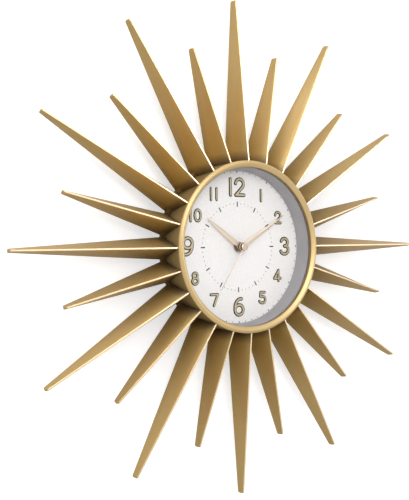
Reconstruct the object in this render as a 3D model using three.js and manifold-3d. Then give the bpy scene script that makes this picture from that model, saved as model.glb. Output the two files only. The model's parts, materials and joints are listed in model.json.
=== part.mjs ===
// Sunburst wall clock: a round drum case with 24 hollow moulded rays, a white dial behind a flat
// lens, three hands and a 56 mm quartz movement with its gear train.
// Millimetres. Everything is drawn looking at the dial: x to the right, y up, z towards the
// viewer, with z = 0 on the wall. The outer group then stands the clock up: +Z up, front to -Y.
import * as THREE from 'three';
import { mergeVertices } from 'three/addons/utils/BufferGeometryUtils.js';
import Module from 'manifold-3d';

const wasm = await Module();
wasm.setup();

// ---------------------------------------------------------------- driving dimensions
const GAP = 0.3;                 // clearance between neighbouring pieces
const RING_STEPS = 48;           // facets of the large rings, two to each ray
const SMALL_STEPS = 16;          // facets of bosses, pipes and screws

const LONG_RAY_RADIUS = 250;
const SHORT_RAY_RADIUS = 203.5;
const RAY_COUNT = 24;
const RIDGE_HALF_WIDTH = 0.8;
const RIDGE_ROOT_DEPTH = 39.7;
const RIDGE_TIP_DEPTH = 22.0;
const RAY_REAR_ROOT_DEPTH = 13.3;
const RAY_REAR_TIP_DEPTH = 15.0;
const RAY_ROOT_HALF_WIDTH = 11.2;
const RAY_TIP_HALF_WIDTH = 1.95;
// At its root each flank flares out to meet its neighbour in a valley, which ends at this radius.
const FLARE_RADIUS = 90.6;
const FLARE_SHOULDER = [21, 18.5];   // depth where the flare leaves the flank, root then end
const FLARE_VALLEY = [16, 14.4];     // depth of the valley floor
const RAY_WALL = 1.8;
const RAY_ROOT_WALL = 2.2;
const RAY_SOLID_TIP = 16;        // the last stretch is moulded solid

const DRUM_RADIUS = 86;
const DRUM_WALL = 2;
const DRUM_REAR = 12.3;
const DRUM_FRONT = 39.3;
const PARTITION_REAR = 16.6;
const PARTITION_FRONT = 17.8;
const SKIRT_RADIUS = 71;
const SKIRT_WALL = 1.8;

const DIAL_RADIUS = 83;
const DIAL_FRONT = 18.9;
const DIAL_THICKNESS = 0.8;
const SURROUND_FOOT_RADIUS = 77.3;
const SURROUND_TOP_RADIUS = 79.4;
const SURROUND_WALL = 1.2;
const SURROUND_TOP = 34.9;
const LENS_REAR = 35.2;
const LENS_FRONT = 37.0;
const LENS_RADIUS = 82.8;

const TONGUE_HALF_WIDTH = 6;
const TONGUE_INNER_RADIUS = 76;
const TONGUE_REAR = 13.4;
const TONGUE_FRONT = 16.0;
const GROOVE_FRONT = 15.0;
const FLANGE_INNER_RADIUS = 78.5;
const FLANGE_OUTER_RADIUS = 79.9;

const MOVEMENT_HALF = 28;
const MOVEMENT_WALL = 1.2;
const MOVEMENT_FRONT = 16.3;
const MOVEMENT_ROOF = 15.3;      // inner face of the movement's front wall
const BAY_WALL_TOP = -11.2;      // upper face of the wall above the battery
const BUSH_RADIUS = 3.4;
const BUSH_BORE = 2.8;
const BUSH_TOP = 22.4;
const BUSH_HOLE = 3.7;           // holes of the parts threaded over the bush

const BATTERY_RADIUS = 7.1;
const BATTERY_Y = -19.4;
const BATTERY_DEPTH = 7.9;

const ARBOR_RADIUS = 0.5;
const PIVOT_BORE = 0.7;
const COVER_THICKNESS = 1.2;
const ARBOR_REAR = 1.5;

// Gear modules: each wheel train shares one centre line, so the two last modules are tied.
const MODULE_ROTOR = 0.36;
const MODULE_SECONDS = 0.36;
const MODULE_CENTRE = 0.32;
const MODULE_MOTION = 0.4;
const TEETH = {
  rotor: 6, reduction: 36, reductionPinion: 8, seconds: 40, secondsPinion: 8,
  third: 60, thirdPinion: 8, centre: 64, cannon: 10, motion: 30, motionPinion: 8, hour: 32, knob: 10,
};
const MODULE_THIRD =
  MODULE_CENTRE * (TEETH.thirdPinion + TEETH.centre) / (TEETH.secondsPinion + TEETH.third);

// The time the hands show at rest, in degrees clockwise from twelve.
const HOUR_HAND_ANGLE = 305;
const MINUTE_HAND_ANGLE = 59.3;
const SECONDS_HAND_ANGLE = 214.3;

// ---------------------------------------------------------------- materials
function material(color, roughness, metalness) {
  return new THREE.MeshStandardMaterial({ color, roughness, metalness });
}

const GOLD = [0xc9a35c, 0.38, 0.85];
const BRIGHT_GOLD = [0xe6c47c, 0.3, 0.9];
const BRASS = [0xc8a24a, 0.35, 0.9];
const STEEL = [0xb9bbc0, 0.3, 0.9];
const HAND_GOLD = [0xe8cfae, 0.32, 0.8];
const BLACK_PLASTIC = [0x2b2b2d, 0.55, 0.0];
const CASE_PLASTIC = [0xb08d4e, 0.45, 0.5];
const WHITE_PLASTIC = [0xe9e6df, 0.5, 0.0];

// ---------------------------------------------------------------- solid helpers
function bareMesh(geometry) {
  const bare = geometry.clone();
  bare.deleteAttribute('normal');
  bare.deleteAttribute('uv');
  return mergeVertices(bare, 1e-4);
}

function signedVolume(position, index) {
  const a = new THREE.Vector3();
  const b = new THREE.Vector3();
  const c = new THREE.Vector3();
  let volume = 0;
  for (let i = 0; i < index.count; i += 3) {
    a.fromBufferAttribute(position, index.getX(i));
    b.fromBufferAttribute(position, index.getX(i + 1));
    c.fromBufferAttribute(position, index.getX(i + 2));
    volume += a.dot(b.cross(c)) / 6;
  }
  return volume;
}

// A closed three.js geometry as a solid with its faces pointing out.
function solid(geometry) {
  const merged = bareMesh(geometry);
  const triVerts = Uint32Array.from(merged.index.array);
  if (signedVolume(merged.attributes.position, merged.index) < 0) {
    for (let i = 0; i < triVerts.length; i += 3) {
      [triVerts[i + 1], triVerts[i + 2]] = [triVerts[i + 2], triVerts[i + 1]];
    }
  }
  const vertProperties = Float32Array.from(merged.attributes.position.array);
  return new wasm.Manifold(new wasm.Mesh({ numProp: 3, vertProperties, triVerts }));
}

function union(first, ...others) {
  return others.reduce((whole, piece) => whole.add(piece), first);
}

function cut(first, ...tools) {
  return tools.reduce((whole, tool) => whole.subtract(tool), first);
}

function geometryOf(body) {
  const mesh = body.getMesh();
  const geometry = new THREE.BufferGeometry();
  geometry.setAttribute('position', new THREE.BufferAttribute(mesh.vertProperties, 3));
  geometry.setIndex(new THREE.BufferAttribute(mesh.triVerts, 1));
  geometry.computeVertexNormals();
  return geometry;
}

function circlePoints(radius, steps, phase = 0) {
  return Array.from({ length: steps }, (_, i) => {
    const angle = phase + (2 * Math.PI * i) / steps;
    return new THREE.Vector2(radius * Math.cos(angle), radius * Math.sin(angle));
  });
}

function shifted(points, x, y) {
  return points.map((point) => new THREE.Vector2(point.x + x, point.y + y));
}

// A flat plate between two depths, with any number of outlines cut out of it.
function plate(outline, rear, front, holes = []) {
  const shape = new THREE.Shape(outline);
  shape.holes = holes.map((hole) => new THREE.Path(hole));
  const geometry = new THREE.ExtrudeGeometry(shape, { depth: front - rear, bevelEnabled: false });
  return solid(geometry.translate(0, 0, rear));
}

function rod(radius, rear, front, steps = SMALL_STEPS, x = 0, y = 0) {
  return plate(shifted(circlePoints(radius, steps), x, y), rear, front);
}

function rectangle(left, right, bottom, top) {
  const corners = [[left, bottom], [right, bottom], [right, top], [left, top]];
  return corners.map(([x, y]) => new THREE.Vector2(x, y));
}

function block(left, right, bottom, top, rear, front) {
  return plate(rectangle(left, right, bottom, top), rear, front);
}

// A turned piece from a closed profile of [radius, depth] points.
function turned(profile, steps) {
  const points = [...profile, profile[0]].map(([r, z]) => new THREE.Vector2(r, z));
  return solid(new THREE.LatheGeometry(points, steps).rotateX(Math.PI / 2));
}

// A solid through equal rings of points, closed by a fan at each end.
function loft(rings) {
  const count = rings[0].length;
  const index = [];
  for (let r = 0; r + 1 < rings.length; r += 1) {
    for (let i = 0; i < count; i += 1) {
      const a = r * count + i;
      const b = r * count + ((i + 1) % count);
      index.push(a, b, b + count, a, b + count, a + count);
    }
  }
  const last = (rings.length - 1) * count;
  for (let i = 1; i + 1 < count; i += 1) {
    index.push(0, i + 1, i, last, last + i, last + i + 1);
  }
  const geometry = new THREE.BufferGeometry();
  geometry.setAttribute('position', new THREE.Float32BufferAttribute(rings.flat(2), 3));
  geometry.setIndex(index);
  return solid(geometry);
}

const clock = new THREE.Group();

function addPiece(name, body, look, x = 0, y = 0, turn = 0) {
  const mesh = new THREE.Mesh(geometryOf(body), material(...look));
  mesh.name = name;
  mesh.position.set(x, y, 0);
  mesh.rotation.z = turn;
  clock.add(mesh);
}

function clockwise(degrees) {
  return THREE.MathUtils.degToRad(-degrees);
}

// ---------------------------------------------------------------- rays
const RAY_ROOT_RADIUS = DRUM_RADIUS + 0.4;
const HALF_PITCH = Math.PI / RAY_COUNT;

function raySection(radius, tipRadius) {
  const along = (radius - DRUM_RADIUS) / (tipRadius - DRUM_RADIUS);
  const ridge = THREE.MathUtils.lerp(RIDGE_ROOT_DEPTH, RIDGE_TIP_DEPTH, along);
  const rear = THREE.MathUtils.lerp(RAY_REAR_ROOT_DEPTH, RAY_REAR_TIP_DEPTH, along);
  const half = THREE.MathUtils.lerp(RAY_ROOT_HALF_WIDTH, RAY_TIP_HALF_WIDTH, along);
  return { ridge, rear, half };
}

// Four corners of the solid section; shrink scales it about its middle to round the tip.
function rayOuterRing(radius, tipRadius, shrink = 1) {
  const { ridge, rear, half } = raySection(radius, tipRadius);
  const middle = (ridge + rear) / 2;
  const corners = [[-RIDGE_HALF_WIDTH, ridge], [-half, rear], [half, rear], [RIDGE_HALF_WIDTH, ridge]];
  return corners.map(([y, z]) => [radius, y * shrink, middle + (z - middle) * shrink]);
}

function rayOuter(tipRadius) {
  const straight = [RAY_ROOT_RADIUS, tipRadius - 2].map((r) => rayOuterRing(r, tipRadius));
  const tip = [rayOuterRing(tipRadius - 0.6, tipRadius, 0.8), rayOuterRing(tipRadius, tipRadius, 0.45)];
  return loft([...straight, ...tip]);
}

// Half width of the flank at a given depth.
function flankHalf({ ridge, rear, half }, depth) {
  return THREE.MathUtils.lerp(RIDGE_HALF_WIDTH, half, (ridge - depth) / (ridge - rear));
}

// The flare at the root, mitred against the flares of the neighbouring rays.
function rayFlare(tipRadius) {
  const rings = [RAY_ROOT_RADIUS, FLARE_RADIUS].map((radius, k) => {
    const mitre = radius * Math.tan(HALF_PITCH) - GAP / 2;
    const shoulder = flankHalf(raySection(radius, tipRadius), FLARE_SHOULDER[k]);
    const side = [[mitre, RAY_REAR_ROOT_DEPTH], [mitre, FLARE_VALLEY[k]], [shoulder, FLARE_SHOULDER[k]]];
    const mirrored = side.map(([y, z]) => [-y, z]).reverse();
    return [...mirrored, ...side].map(([y, z]) => [radius, y, z]);
  });
  return loft(rings);
}

// The open hollow behind the ray: the same flanks moved in by the wall thickness.
function rayHollowRing(radius, tipRadius) {
  const { ridge, rear, half } = raySection(radius, tipRadius);
  const lean = (half - RIDGE_HALF_WIDTH) / (ridge - rear);
  const wallAcross = RAY_WALL * Math.hypot(1, lean);
  const crownHalf = 0.3;
  const overrun = 3;
  const crown = rear + (half - wallAcross - crownHalf) / lean;
  const mouthHalf = half - wallAcross + overrun * lean;
  const mouth = rear - overrun;
  const corners = [[-crownHalf, crown], [-mouthHalf, mouth], [mouthHalf, mouth], [crownHalf, crown]];
  return corners.map(([y, z]) => [radius, y, z]);
}

function rayTongue() {
  const tongueEnd = RAY_ROOT_RADIUS + 1;
  const tongue = block(
    TONGUE_INNER_RADIUS, tongueEnd, -TONGUE_HALF_WIDTH, TONGUE_HALF_WIDTH, TONGUE_REAR, TONGUE_FRONT,
  );
  const ringSag = FLANGE_INNER_RADIUS - Math.sqrt(FLANGE_INNER_RADIUS ** 2 - TONGUE_HALF_WIDTH ** 2);
  const grooveStart = FLANGE_INNER_RADIUS - ringSag - 2 * GAP;
  const grooveEnd = FLANGE_OUTER_RADIUS + GAP;
  const groove = block(
    grooveStart, grooveEnd, -TONGUE_HALF_WIDTH - 1, TONGUE_HALF_WIDTH + 1, TONGUE_REAR - 1, GROOVE_FRONT,
  );
  return cut(tongue, groove);
}

function raySolid(tipRadius) {
  const hollowStart = RAY_ROOT_RADIUS + RAY_ROOT_WALL;
  const hollowEnd = tipRadius - RAY_SOLID_TIP;
  const hollow = loft([hollowStart, hollowEnd].map((r) => rayHollowRing(r, tipRadius)));
  return union(cut(union(rayOuter(tipRadius), rayFlare(tipRadius)), hollow), rayTongue());
}

function addRays() {
  const longRay = raySolid(LONG_RAY_RADIUS);
  const shortRay = raySolid(SHORT_RAY_RADIUS);
  for (let i = 0; i < RAY_COUNT; i += 1) {
    const isLong = i % 2 === 0;
    const number = String(Math.floor(i / 2) + 1).padStart(2, '0');
    const name = `${isLong ? 'ray_long' : 'ray_short'}_${number}`;
    const fromTwelve = clockwise((360 / RAY_COUNT) * i);
    addPiece(name, isLong ? longRay : shortRay, GOLD, 0, 0, Math.PI / 2 + fromTwelve);
  }
}

// ---------------------------------------------------------------- case, ring and fasteners
const RETAINER_SCREW_RADIUS = 73.8;
const RETAINER_SCREW_ANGLES = [7.5, 127.5, 247.5];
const SCREW_SHANK = 0.85;
const SCREW_HOLE = 1.15;
const SCREW_HEAD = 2.4;
const BOSS_RADIUS = 2.2;
const HANGER_POST_X = 9.5;
const HANGER_POST_Y = 44;
const HANGER_REAR = 4.2;
const HANGER_FRONT = 5.4;

function onCircle(radius, degrees) {
  const angle = Math.PI / 2 + clockwise(degrees);
  return [radius * Math.cos(angle), radius * Math.sin(angle)];
}

// A blind-drilled boss standing on the rear of the partition.
function boss(x, y, radius, rear) {
  const post = rod(radius, rear, PARTITION_REAR + 0.5, SMALL_STEPS, x, y);
  const hole = rod(SCREW_HOLE, rear - 1, PARTITION_REAR - GAP, SMALL_STEPS, x, y);
  return { post, hole };
}

function tongueSlots() {
  const slot = block(
    DRUM_RADIUS - DRUM_WALL - 2, DRUM_RADIUS + 2, -TONGUE_HALF_WIDTH - GAP, TONGUE_HALF_WIDTH + GAP,
    TONGUE_REAR - GAP, TONGUE_FRONT + GAP,
  );
  return Array.from({ length: RAY_COUNT }, (_, i) => slot.rotate([0, 0, (360 / RAY_COUNT) * i]));
}

function addCase() {
  const inner = DRUM_RADIUS - DRUM_WALL;
  const skirtInner = SKIRT_RADIUS - SKIRT_WALL;
  const shell = turned([
    [BUSH_HOLE, PARTITION_REAR], [BUSH_HOLE, PARTITION_FRONT], [inner, PARTITION_FRONT],
    [inner, DRUM_FRONT],
    [DRUM_RADIUS, DRUM_FRONT], [DRUM_RADIUS, DRUM_REAR], [inner, DRUM_REAR], [inner, PARTITION_REAR],
    [SKIRT_RADIUS, PARTITION_REAR], [SKIRT_RADIUS, 0], [skirtInner, 0], [skirtInner, PARTITION_REAR],
  ], RING_STEPS);
  const bosses = RETAINER_SCREW_ANGLES.map((angle) => {
    const [x, y] = onCircle(RETAINER_SCREW_RADIUS, angle);
    return boss(x, y, BOSS_RADIUS, TONGUE_REAR);
  });
  const posts = [-HANGER_POST_X, HANGER_POST_X].map((x) => boss(x, HANGER_POST_Y, 3, HANGER_FRONT + GAP));
  const supports = [...bosses, ...posts];
  const body = cut(
    union(shell, ...supports.map((support) => support.post)),
    ...supports.map((support) => support.hole),
    ...tongueSlots(),
  );
  addPiece('case_drum', body, CASE_PLASTIC);
}

function addRetainerRing() {
  const rear = DRUM_REAR - 0.1;
  const front = TONGUE_REAR - GAP;
  const ring = turned([
    [SKIRT_RADIUS + 0.6, rear], [SKIRT_RADIUS + 0.6, front], [FLANGE_INNER_RADIUS, front],
    [FLANGE_INNER_RADIUS, GROOVE_FRONT - GAP], [FLANGE_OUTER_RADIUS, GROOVE_FRONT - GAP],
    [FLANGE_OUTER_RADIUS, front], [83.4, front], [83.4, rear],
  ], RING_STEPS);
  const holes = RETAINER_SCREW_ANGLES.map((angle) => {
    const [x, y] = onCircle(RETAINER_SCREW_RADIUS, angle);
    return rod(SCREW_HOLE, rear - 1, front + 1, SMALL_STEPS, x, y);
  });
  addPiece('ray_retainer_ring', cut(ring, ...holes), BLACK_PLASTIC);
}

// A pan-head screw driven towards the dial, with a cross recess in its head.
function screw(headRear, tip) {
  const headHeight = 0.9;
  const headFront = headRear + headHeight;
  const body = turned([
    [0, headRear], [SCREW_HEAD * 0.7, headRear], [SCREW_HEAD, headRear + 0.4], [SCREW_HEAD, headFront],
    [SCREW_SHANK, headFront], [SCREW_SHANK, tip - 0.8], [0, tip],
  ], SMALL_STEPS);
  const slotLength = 1.3;
  const slotHalf = 0.25;
  const slotDepth = 0.45;
  const bars = union(
    block(-slotLength, slotLength, -slotHalf, slotHalf, headRear - 1, headRear + slotDepth),
    block(-slotHalf, slotHalf, -slotLength, slotLength, headRear - 1, headRear + slotDepth),
  );
  return cut(body, bars);
}

function addScrews() {
  const headHeight = 0.9;
  const retainerScrew = screw(DRUM_REAR - 0.1 - GAP - headHeight, PARTITION_REAR - 2 * GAP);
  RETAINER_SCREW_ANGLES.forEach((angle, i) => {
    addPiece(`retainer_screw_${i + 1}`, retainerScrew, STEEL, ...onCircle(RETAINER_SCREW_RADIUS, angle));
  });
  const hangerScrew = screw(HANGER_REAR - GAP - headHeight, PARTITION_REAR - 4);
  [-HANGER_POST_X, HANGER_POST_X].forEach((x, i) => {
    addPiece(`hanger_screw_${i + 1}`, hangerScrew, STEEL, x, HANGER_POST_Y);
  });
}

// The steel strip the wall nail hooks behind: a wide mouth with a narrower flat-topped slot above.
function addHangerPlate() {
  const slotHalf = 3;
  const mouthHalf = 5.5;
  const slotTop = 47;
  const mouthTop = 42;
  const opening = [
    [-mouthHalf, 37], [mouthHalf, 37], [mouthHalf, mouthTop - 1.5], [slotHalf, mouthTop],
    [slotHalf, slotTop], [-slotHalf, slotTop], [-slotHalf, mouthTop], [-mouthHalf, mouthTop - 1.5],
  ].map(([x, y]) => new THREE.Vector2(x, y));
  const holes = [-HANGER_POST_X, HANGER_POST_X].map(
    (x) => shifted(circlePoints(SCREW_HOLE, SMALL_STEPS), x, HANGER_POST_Y),
  );
  const outline = [
    [-13, 35], [-11, 33.5], [11, 33.5], [13, 35], [13, 48.5], [11, 50.5], [-11, 50.5], [-13, 48.5],
  ].map(([x, y]) => new THREE.Vector2(x, y));
  const body = plate(outline, HANGER_REAR, HANGER_FRONT, [opening, ...holes]);
  addPiece('hanger_plate', body, STEEL);
}

// ---------------------------------------------------------------- bezel, lens, surround, dial
function addFront() {
  const bezel = turned([
    [79.5, LENS_FRONT + GAP], [79.5, 39.8], [80.0, 40.4], [83.1, 42.9], [83.7, 43.1], [84.1, 42.6],
    [84.1, 40.6], [86.2, 40.6], [86.2, 39.7], [83.6, 39.7], [83.6, LENS_FRONT + GAP],
  ], RING_STEPS);
  addPiece('bezel_ring', bezel, BRIGHT_GOLD);

  const lens = plate(circlePoints(LENS_RADIUS, RING_STEPS), LENS_REAR, LENS_FRONT);
  addPiece('lens', lens, [0xf4f8fa, 0.05, 0.0]);

  const foot = DIAL_FRONT + GAP;
  const surround = turned([
    [SURROUND_FOOT_RADIUS, foot], [SURROUND_TOP_RADIUS, SURROUND_TOP], [83.4, SURROUND_TOP],
    [83.4, SURROUND_TOP - SURROUND_WALL], [SURROUND_TOP_RADIUS + SURROUND_WALL, SURROUND_TOP - SURROUND_WALL],
    [SURROUND_FOOT_RADIUS + SURROUND_WALL, foot + 1], [83.4, foot + 1], [83.4, foot],
  ], RING_STEPS);
  addPiece('dial_surround', surround, [0x9a9a9f, 0.45, 0.3]);

  const dial = plate(
    circlePoints(DIAL_RADIUS, RING_STEPS), DIAL_FRONT - DIAL_THICKNESS, DIAL_FRONT,
    [circlePoints(BUSH_HOLE, SMALL_STEPS)],
  );
  addPiece('dial_plate', dial, [0xf1eeec, 0.6, 0.0]);
}

// ---------------------------------------------------------------- hands
const HAND = {
  hour: { boss: 5.0, bore: 2.8, rear: 22.7, front: 24.5, bladeRear: 23.5, bladeFront: 24.2 },
  minute: { boss: 4.8, bore: 1.8, rear: 25.4, front: 27.7, bladeRear: 26.8, bladeFront: 27.4 },
  seconds: { boss: 3.9, bore: 0.8, rear: 28.3, front: 31.2, bladeRear: 29.7, bladeFront: 30.1 },
};

// A tapered lance: [distance from the axis, half width] pairs along one edge.
function blade(edge, rear, front) {
  const right = edge.map(([along, half]) => new THREE.Vector2(half, along));
  const left = [...edge].reverse().map(([along, half]) => new THREE.Vector2(-half, along));
  return plate([...right, ...left], rear, front);
}

function hand(size, edge, boreTop) {
  const hub = rod(size.boss, size.rear, size.front, 24);
  const bore = rod(size.bore, size.rear - 1, boreTop, SMALL_STEPS);
  return cut(union(hub, blade(edge, size.bladeRear, size.bladeFront)), bore);
}

function addHands() {
  const hourEdge = [[0, 2.0], [5, 2.3], [11, 2.7], [40, 1.3], [50, 0.2]];
  const hour = hand(HAND.hour, hourEdge, HAND.hour.front + 1);
  addPiece('hour_hand', hour, HAND_GOLD, 0, 0, clockwise(HOUR_HAND_ANGLE));
  const minuteEdge = [[0, 1.9], [5, 2.1], [12, 2.5], [48, 1.1], [63, 0.2]];
  const minute = hand(HAND.minute, minuteEdge, HAND.minute.front + 1);
  addPiece('minute_hand', minute, HAND_GOLD, 0, 0, clockwise(MINUTE_HAND_ANGLE));
  const seconds = hand(HAND.seconds, [[0, 0.5], [52.2, 0.3]], HAND.seconds.front - 1);
  addPiece('seconds_hand', seconds, HAND_GOLD, 0, 0, clockwise(SECONDS_HAND_ANGLE));
}

// ---------------------------------------------------------------- gear train layout
function pitchRadius(teeth, module) {
  return (teeth * module) / 2;
}

function polar(from, distance, degrees) {
  const angle = THREE.MathUtils.degToRad(degrees);
  return new THREE.Vector2(from.x + distance * Math.cos(angle), from.y + distance * Math.sin(angle));
}

function centreDistance(teethA, teethB, module) {
  return ((teethA + teethB) * module) / 2;
}

const CENTRE = new THREE.Vector2(0, 0);
const REDUCTION_DISTANCE = centreDistance(TEETH.reductionPinion, TEETH.seconds, MODULE_SECONDS);
const REDUCTION_AT = polar(CENTRE, REDUCTION_DISTANCE, 30);
const ROTOR_AT = polar(REDUCTION_AT, centreDistance(TEETH.rotor, TEETH.reduction, MODULE_ROTOR), -20);
const THIRD_AT = polar(CENTRE, centreDistance(TEETH.thirdPinion, TEETH.centre, MODULE_CENTRE), 156);
const MOTION_AT = polar(CENTRE, centreDistance(TEETH.cannon, TEETH.motion, MODULE_MOTION), 115);
const KNOB_AT = polar(MOTION_AT, centreDistance(TEETH.knob, TEETH.motion, MODULE_MOTION), 90);

// Rear and front depth of each toothed part; neighbours that mesh share part of their depth.
const PLANE = {
  rotorPinion: [4.1, 5.8],
  reduction: [4.7, 5.5],
  reductionPinion: [5.4, 7.3],
  seconds: [6.3, 7.1],
  secondsPinion: [7.0, 8.9],
  third: [8.0, 8.7],
  thirdPinion: [8.6, 11.2],
  centre: [10.2, 10.9],
  cannon: [11.3, 13.2],
  knob: [11.9, 13.0],
  motion: [12.0, 12.8],
  motionPinion: [12.7, 14.9],
  hour: [13.7, 14.5],
};
const ROTOR_MAGNET = { radius: 2.2, rear: 2.1, front: 4.2 };
const SHORT_ARBOR_FRONT = 9.6;
const SECONDS_ARBOR_FRONT = 29.6;
const CANNON_PIPE_RADIUS = 1.5;
const CANNON_PIPE_FRONT = 27.2;
const HOUR_PIPE_RADIUS = 2.5;
const HOUR_PIPE_FRONT = 24.8;

// Tooth angle of a gear at `to` that leaves its gaps on the teeth of a gear at `from`.
function meshPhase(from, to, phaseFrom, teethFrom, teethTo) {
  const line = Math.atan2(to.y - from.y, to.x - from.x);
  const turns = ((line - phaseFrom) * teethFrom) / (2 * Math.PI);
  const fraction = turns - Math.floor(turns);
  return line + Math.PI + ((fraction - 0.5) * 2 * Math.PI) / teethTo;
}

// Straight-flanked teeth, thinned so that the train runs with backlash.
function gearOutline(teeth, module, phase) {
  const pitch = (2 * Math.PI) / teeth;
  const root = pitchRadius(teeth, module) - 1.2 * module;
  const tip = pitchRadius(teeth, module) + 0.85 * module;
  const points = [];
  for (let i = 0; i < teeth; i += 1) {
    const at = phase + i * pitch;
    for (const [radius, offset] of [[root, -0.29], [tip, -0.1], [tip, 0.1], [root, 0.29]]) {
      const angle = at + offset * pitch;
      points.push(new THREE.Vector2(radius * Math.cos(angle), radius * Math.sin(angle)));
    }
  }
  return points;
}

function gear(teeth, module, phase, rear, front) {
  return plate(gearOutline(teeth, module, phase), rear, front);
}

function addSecondsTrain() {
  const rotorPhase = Math.atan2(REDUCTION_AT.y - ROTOR_AT.y, REDUCTION_AT.x - ROTOR_AT.x);
  const rotor = union(
    rod(ROTOR_MAGNET.radius, ROTOR_MAGNET.rear, ROTOR_MAGNET.front),
    gear(TEETH.rotor, MODULE_ROTOR, rotorPhase, ...PLANE.rotorPinion),
    rod(ARBOR_RADIUS, ARBOR_REAR, SHORT_ARBOR_FRONT, 8),
  );
  addPiece('rotor', rotor, STEEL, ROTOR_AT.x, ROTOR_AT.y);

  const reductionPhase = meshPhase(ROTOR_AT, REDUCTION_AT, rotorPhase, TEETH.rotor, TEETH.reduction);
  const reduction = union(
    gear(TEETH.reduction, MODULE_ROTOR, reductionPhase, ...PLANE.reduction),
    gear(TEETH.reductionPinion, MODULE_SECONDS, 0, ...PLANE.reductionPinion),
    rod(ARBOR_RADIUS, ARBOR_REAR, SHORT_ARBOR_FRONT, 8),
  );
  addPiece('reduction_wheel', reduction, WHITE_PLASTIC, REDUCTION_AT.x, REDUCTION_AT.y);

  const secondsPhase = meshPhase(REDUCTION_AT, CENTRE, 0, TEETH.reductionPinion, TEETH.seconds);
  const seconds = union(
    gear(TEETH.seconds, MODULE_SECONDS, secondsPhase, ...PLANE.seconds),
    gear(TEETH.secondsPinion, MODULE_THIRD, 0, ...PLANE.secondsPinion),
    rod(ARBOR_RADIUS, ARBOR_REAR, SECONDS_ARBOR_FRONT, 8),
  );
  addPiece('seconds_wheel', seconds, WHITE_PLASTIC);

  const thirdPhase = meshPhase(CENTRE, THIRD_AT, 0, TEETH.secondsPinion, TEETH.third);
  const third = union(
    gear(TEETH.third, MODULE_THIRD, thirdPhase, ...PLANE.third),
    gear(TEETH.thirdPinion, MODULE_CENTRE, 0, ...PLANE.thirdPinion),
    rod(ARBOR_RADIUS, ARBOR_REAR, MOVEMENT_ROOF - GAP, 8),
  );
  addPiece('third_wheel', third, WHITE_PLASTIC, THIRD_AT.x, THIRD_AT.y);

  const centrePhase = meshPhase(THIRD_AT, CENTRE, 0, TEETH.thirdPinion, TEETH.centre);
  const centre = cut(
    gear(TEETH.centre, MODULE_CENTRE, centrePhase, ...PLANE.centre),
    rod(CANNON_PIPE_RADIUS, 9, 12),
  );
  addPiece('centre_wheel', centre, BRASS);
}

function addMotionWork() {
  const cannonPhase = Math.atan2(MOTION_AT.y, MOTION_AT.x);
  const cannon = cut(
    union(
      rod(CANNON_PIPE_RADIUS - GAP, 10.0, 11.5),
      gear(TEETH.cannon, MODULE_MOTION, cannonPhase, ...PLANE.cannon),
      rod(CANNON_PIPE_RADIUS, 13.1, CANNON_PIPE_FRONT),
    ),
    rod(PIVOT_BORE + 0.1, 9, 30),
  );
  addPiece('cannon_pinion', cannon, BRASS);

  const motionPhase = meshPhase(CENTRE, MOTION_AT, cannonPhase, TEETH.cannon, TEETH.motion);
  const pinionPhase = Math.atan2(-MOTION_AT.y, -MOTION_AT.x);
  const motion = cut(
    union(
      gear(TEETH.motion, MODULE_MOTION, motionPhase, ...PLANE.motion),
      gear(TEETH.motionPinion, MODULE_MOTION, pinionPhase, ...PLANE.motionPinion),
    ),
    rod(0.85, 11, 16),
  );
  addPiece('motion_wheel', motion, WHITE_PLASTIC, MOTION_AT.x, MOTION_AT.y);

  const hourPhase = meshPhase(MOTION_AT, CENTRE, pinionPhase, TEETH.motionPinion, TEETH.hour);
  const hour = cut(
    union(
      gear(TEETH.hour, MODULE_MOTION, hourPhase, ...PLANE.hour),
      rod(HOUR_PIPE_RADIUS, PLANE.hour[0], HOUR_PIPE_FRONT, 24),
    ),
    rod(CANNON_PIPE_RADIUS + GAP, 12, 26),
  );
  addPiece('hour_wheel', hour, WHITE_PLASTIC);

  const knobPhase = meshPhase(MOTION_AT, KNOB_AT, motionPhase, TEETH.motion, TEETH.knob);
  const knob = union(
    settingKnobDisc(),
    rod(0.9, 2.3, 13.4, 12),
    gear(TEETH.knob, MODULE_MOTION, knobPhase, ...PLANE.knob),
  );
  addPiece('setting_knob', knob, BLACK_PLASTIC, KNOB_AT.x, KNOB_AT.y);
}

// The disc a finger turns: a ribbed edge and two finger dimples.
const KNOB_RADIUS = 6;
function settingKnobDisc() {
  const ribs = 20;
  const edge = circlePoints(1, 2 * ribs).map((point, i) => {
    const radius = i % 2 === 0 ? KNOB_RADIUS : KNOB_RADIUS - 0.35;
    return point.multiplyScalar(radius);
  });
  const disc = plate(edge, 0.2, 2.4);
  const bar = union(block(-4.2, 4.2, 0.8, 3.0, -1, 1.2), block(-4.2, 4.2, -3.0, -0.8, -1, 1.2));
  return cut(disc, bar);
}

// ---------------------------------------------------------------- movement housing
const PIVOTS = [ROTOR_AT, REDUCTION_AT, CENTRE, THIRD_AT];
const BRIDGE_REAR = 9.05;
const BRIDGE_FRONT = 9.75;

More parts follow.
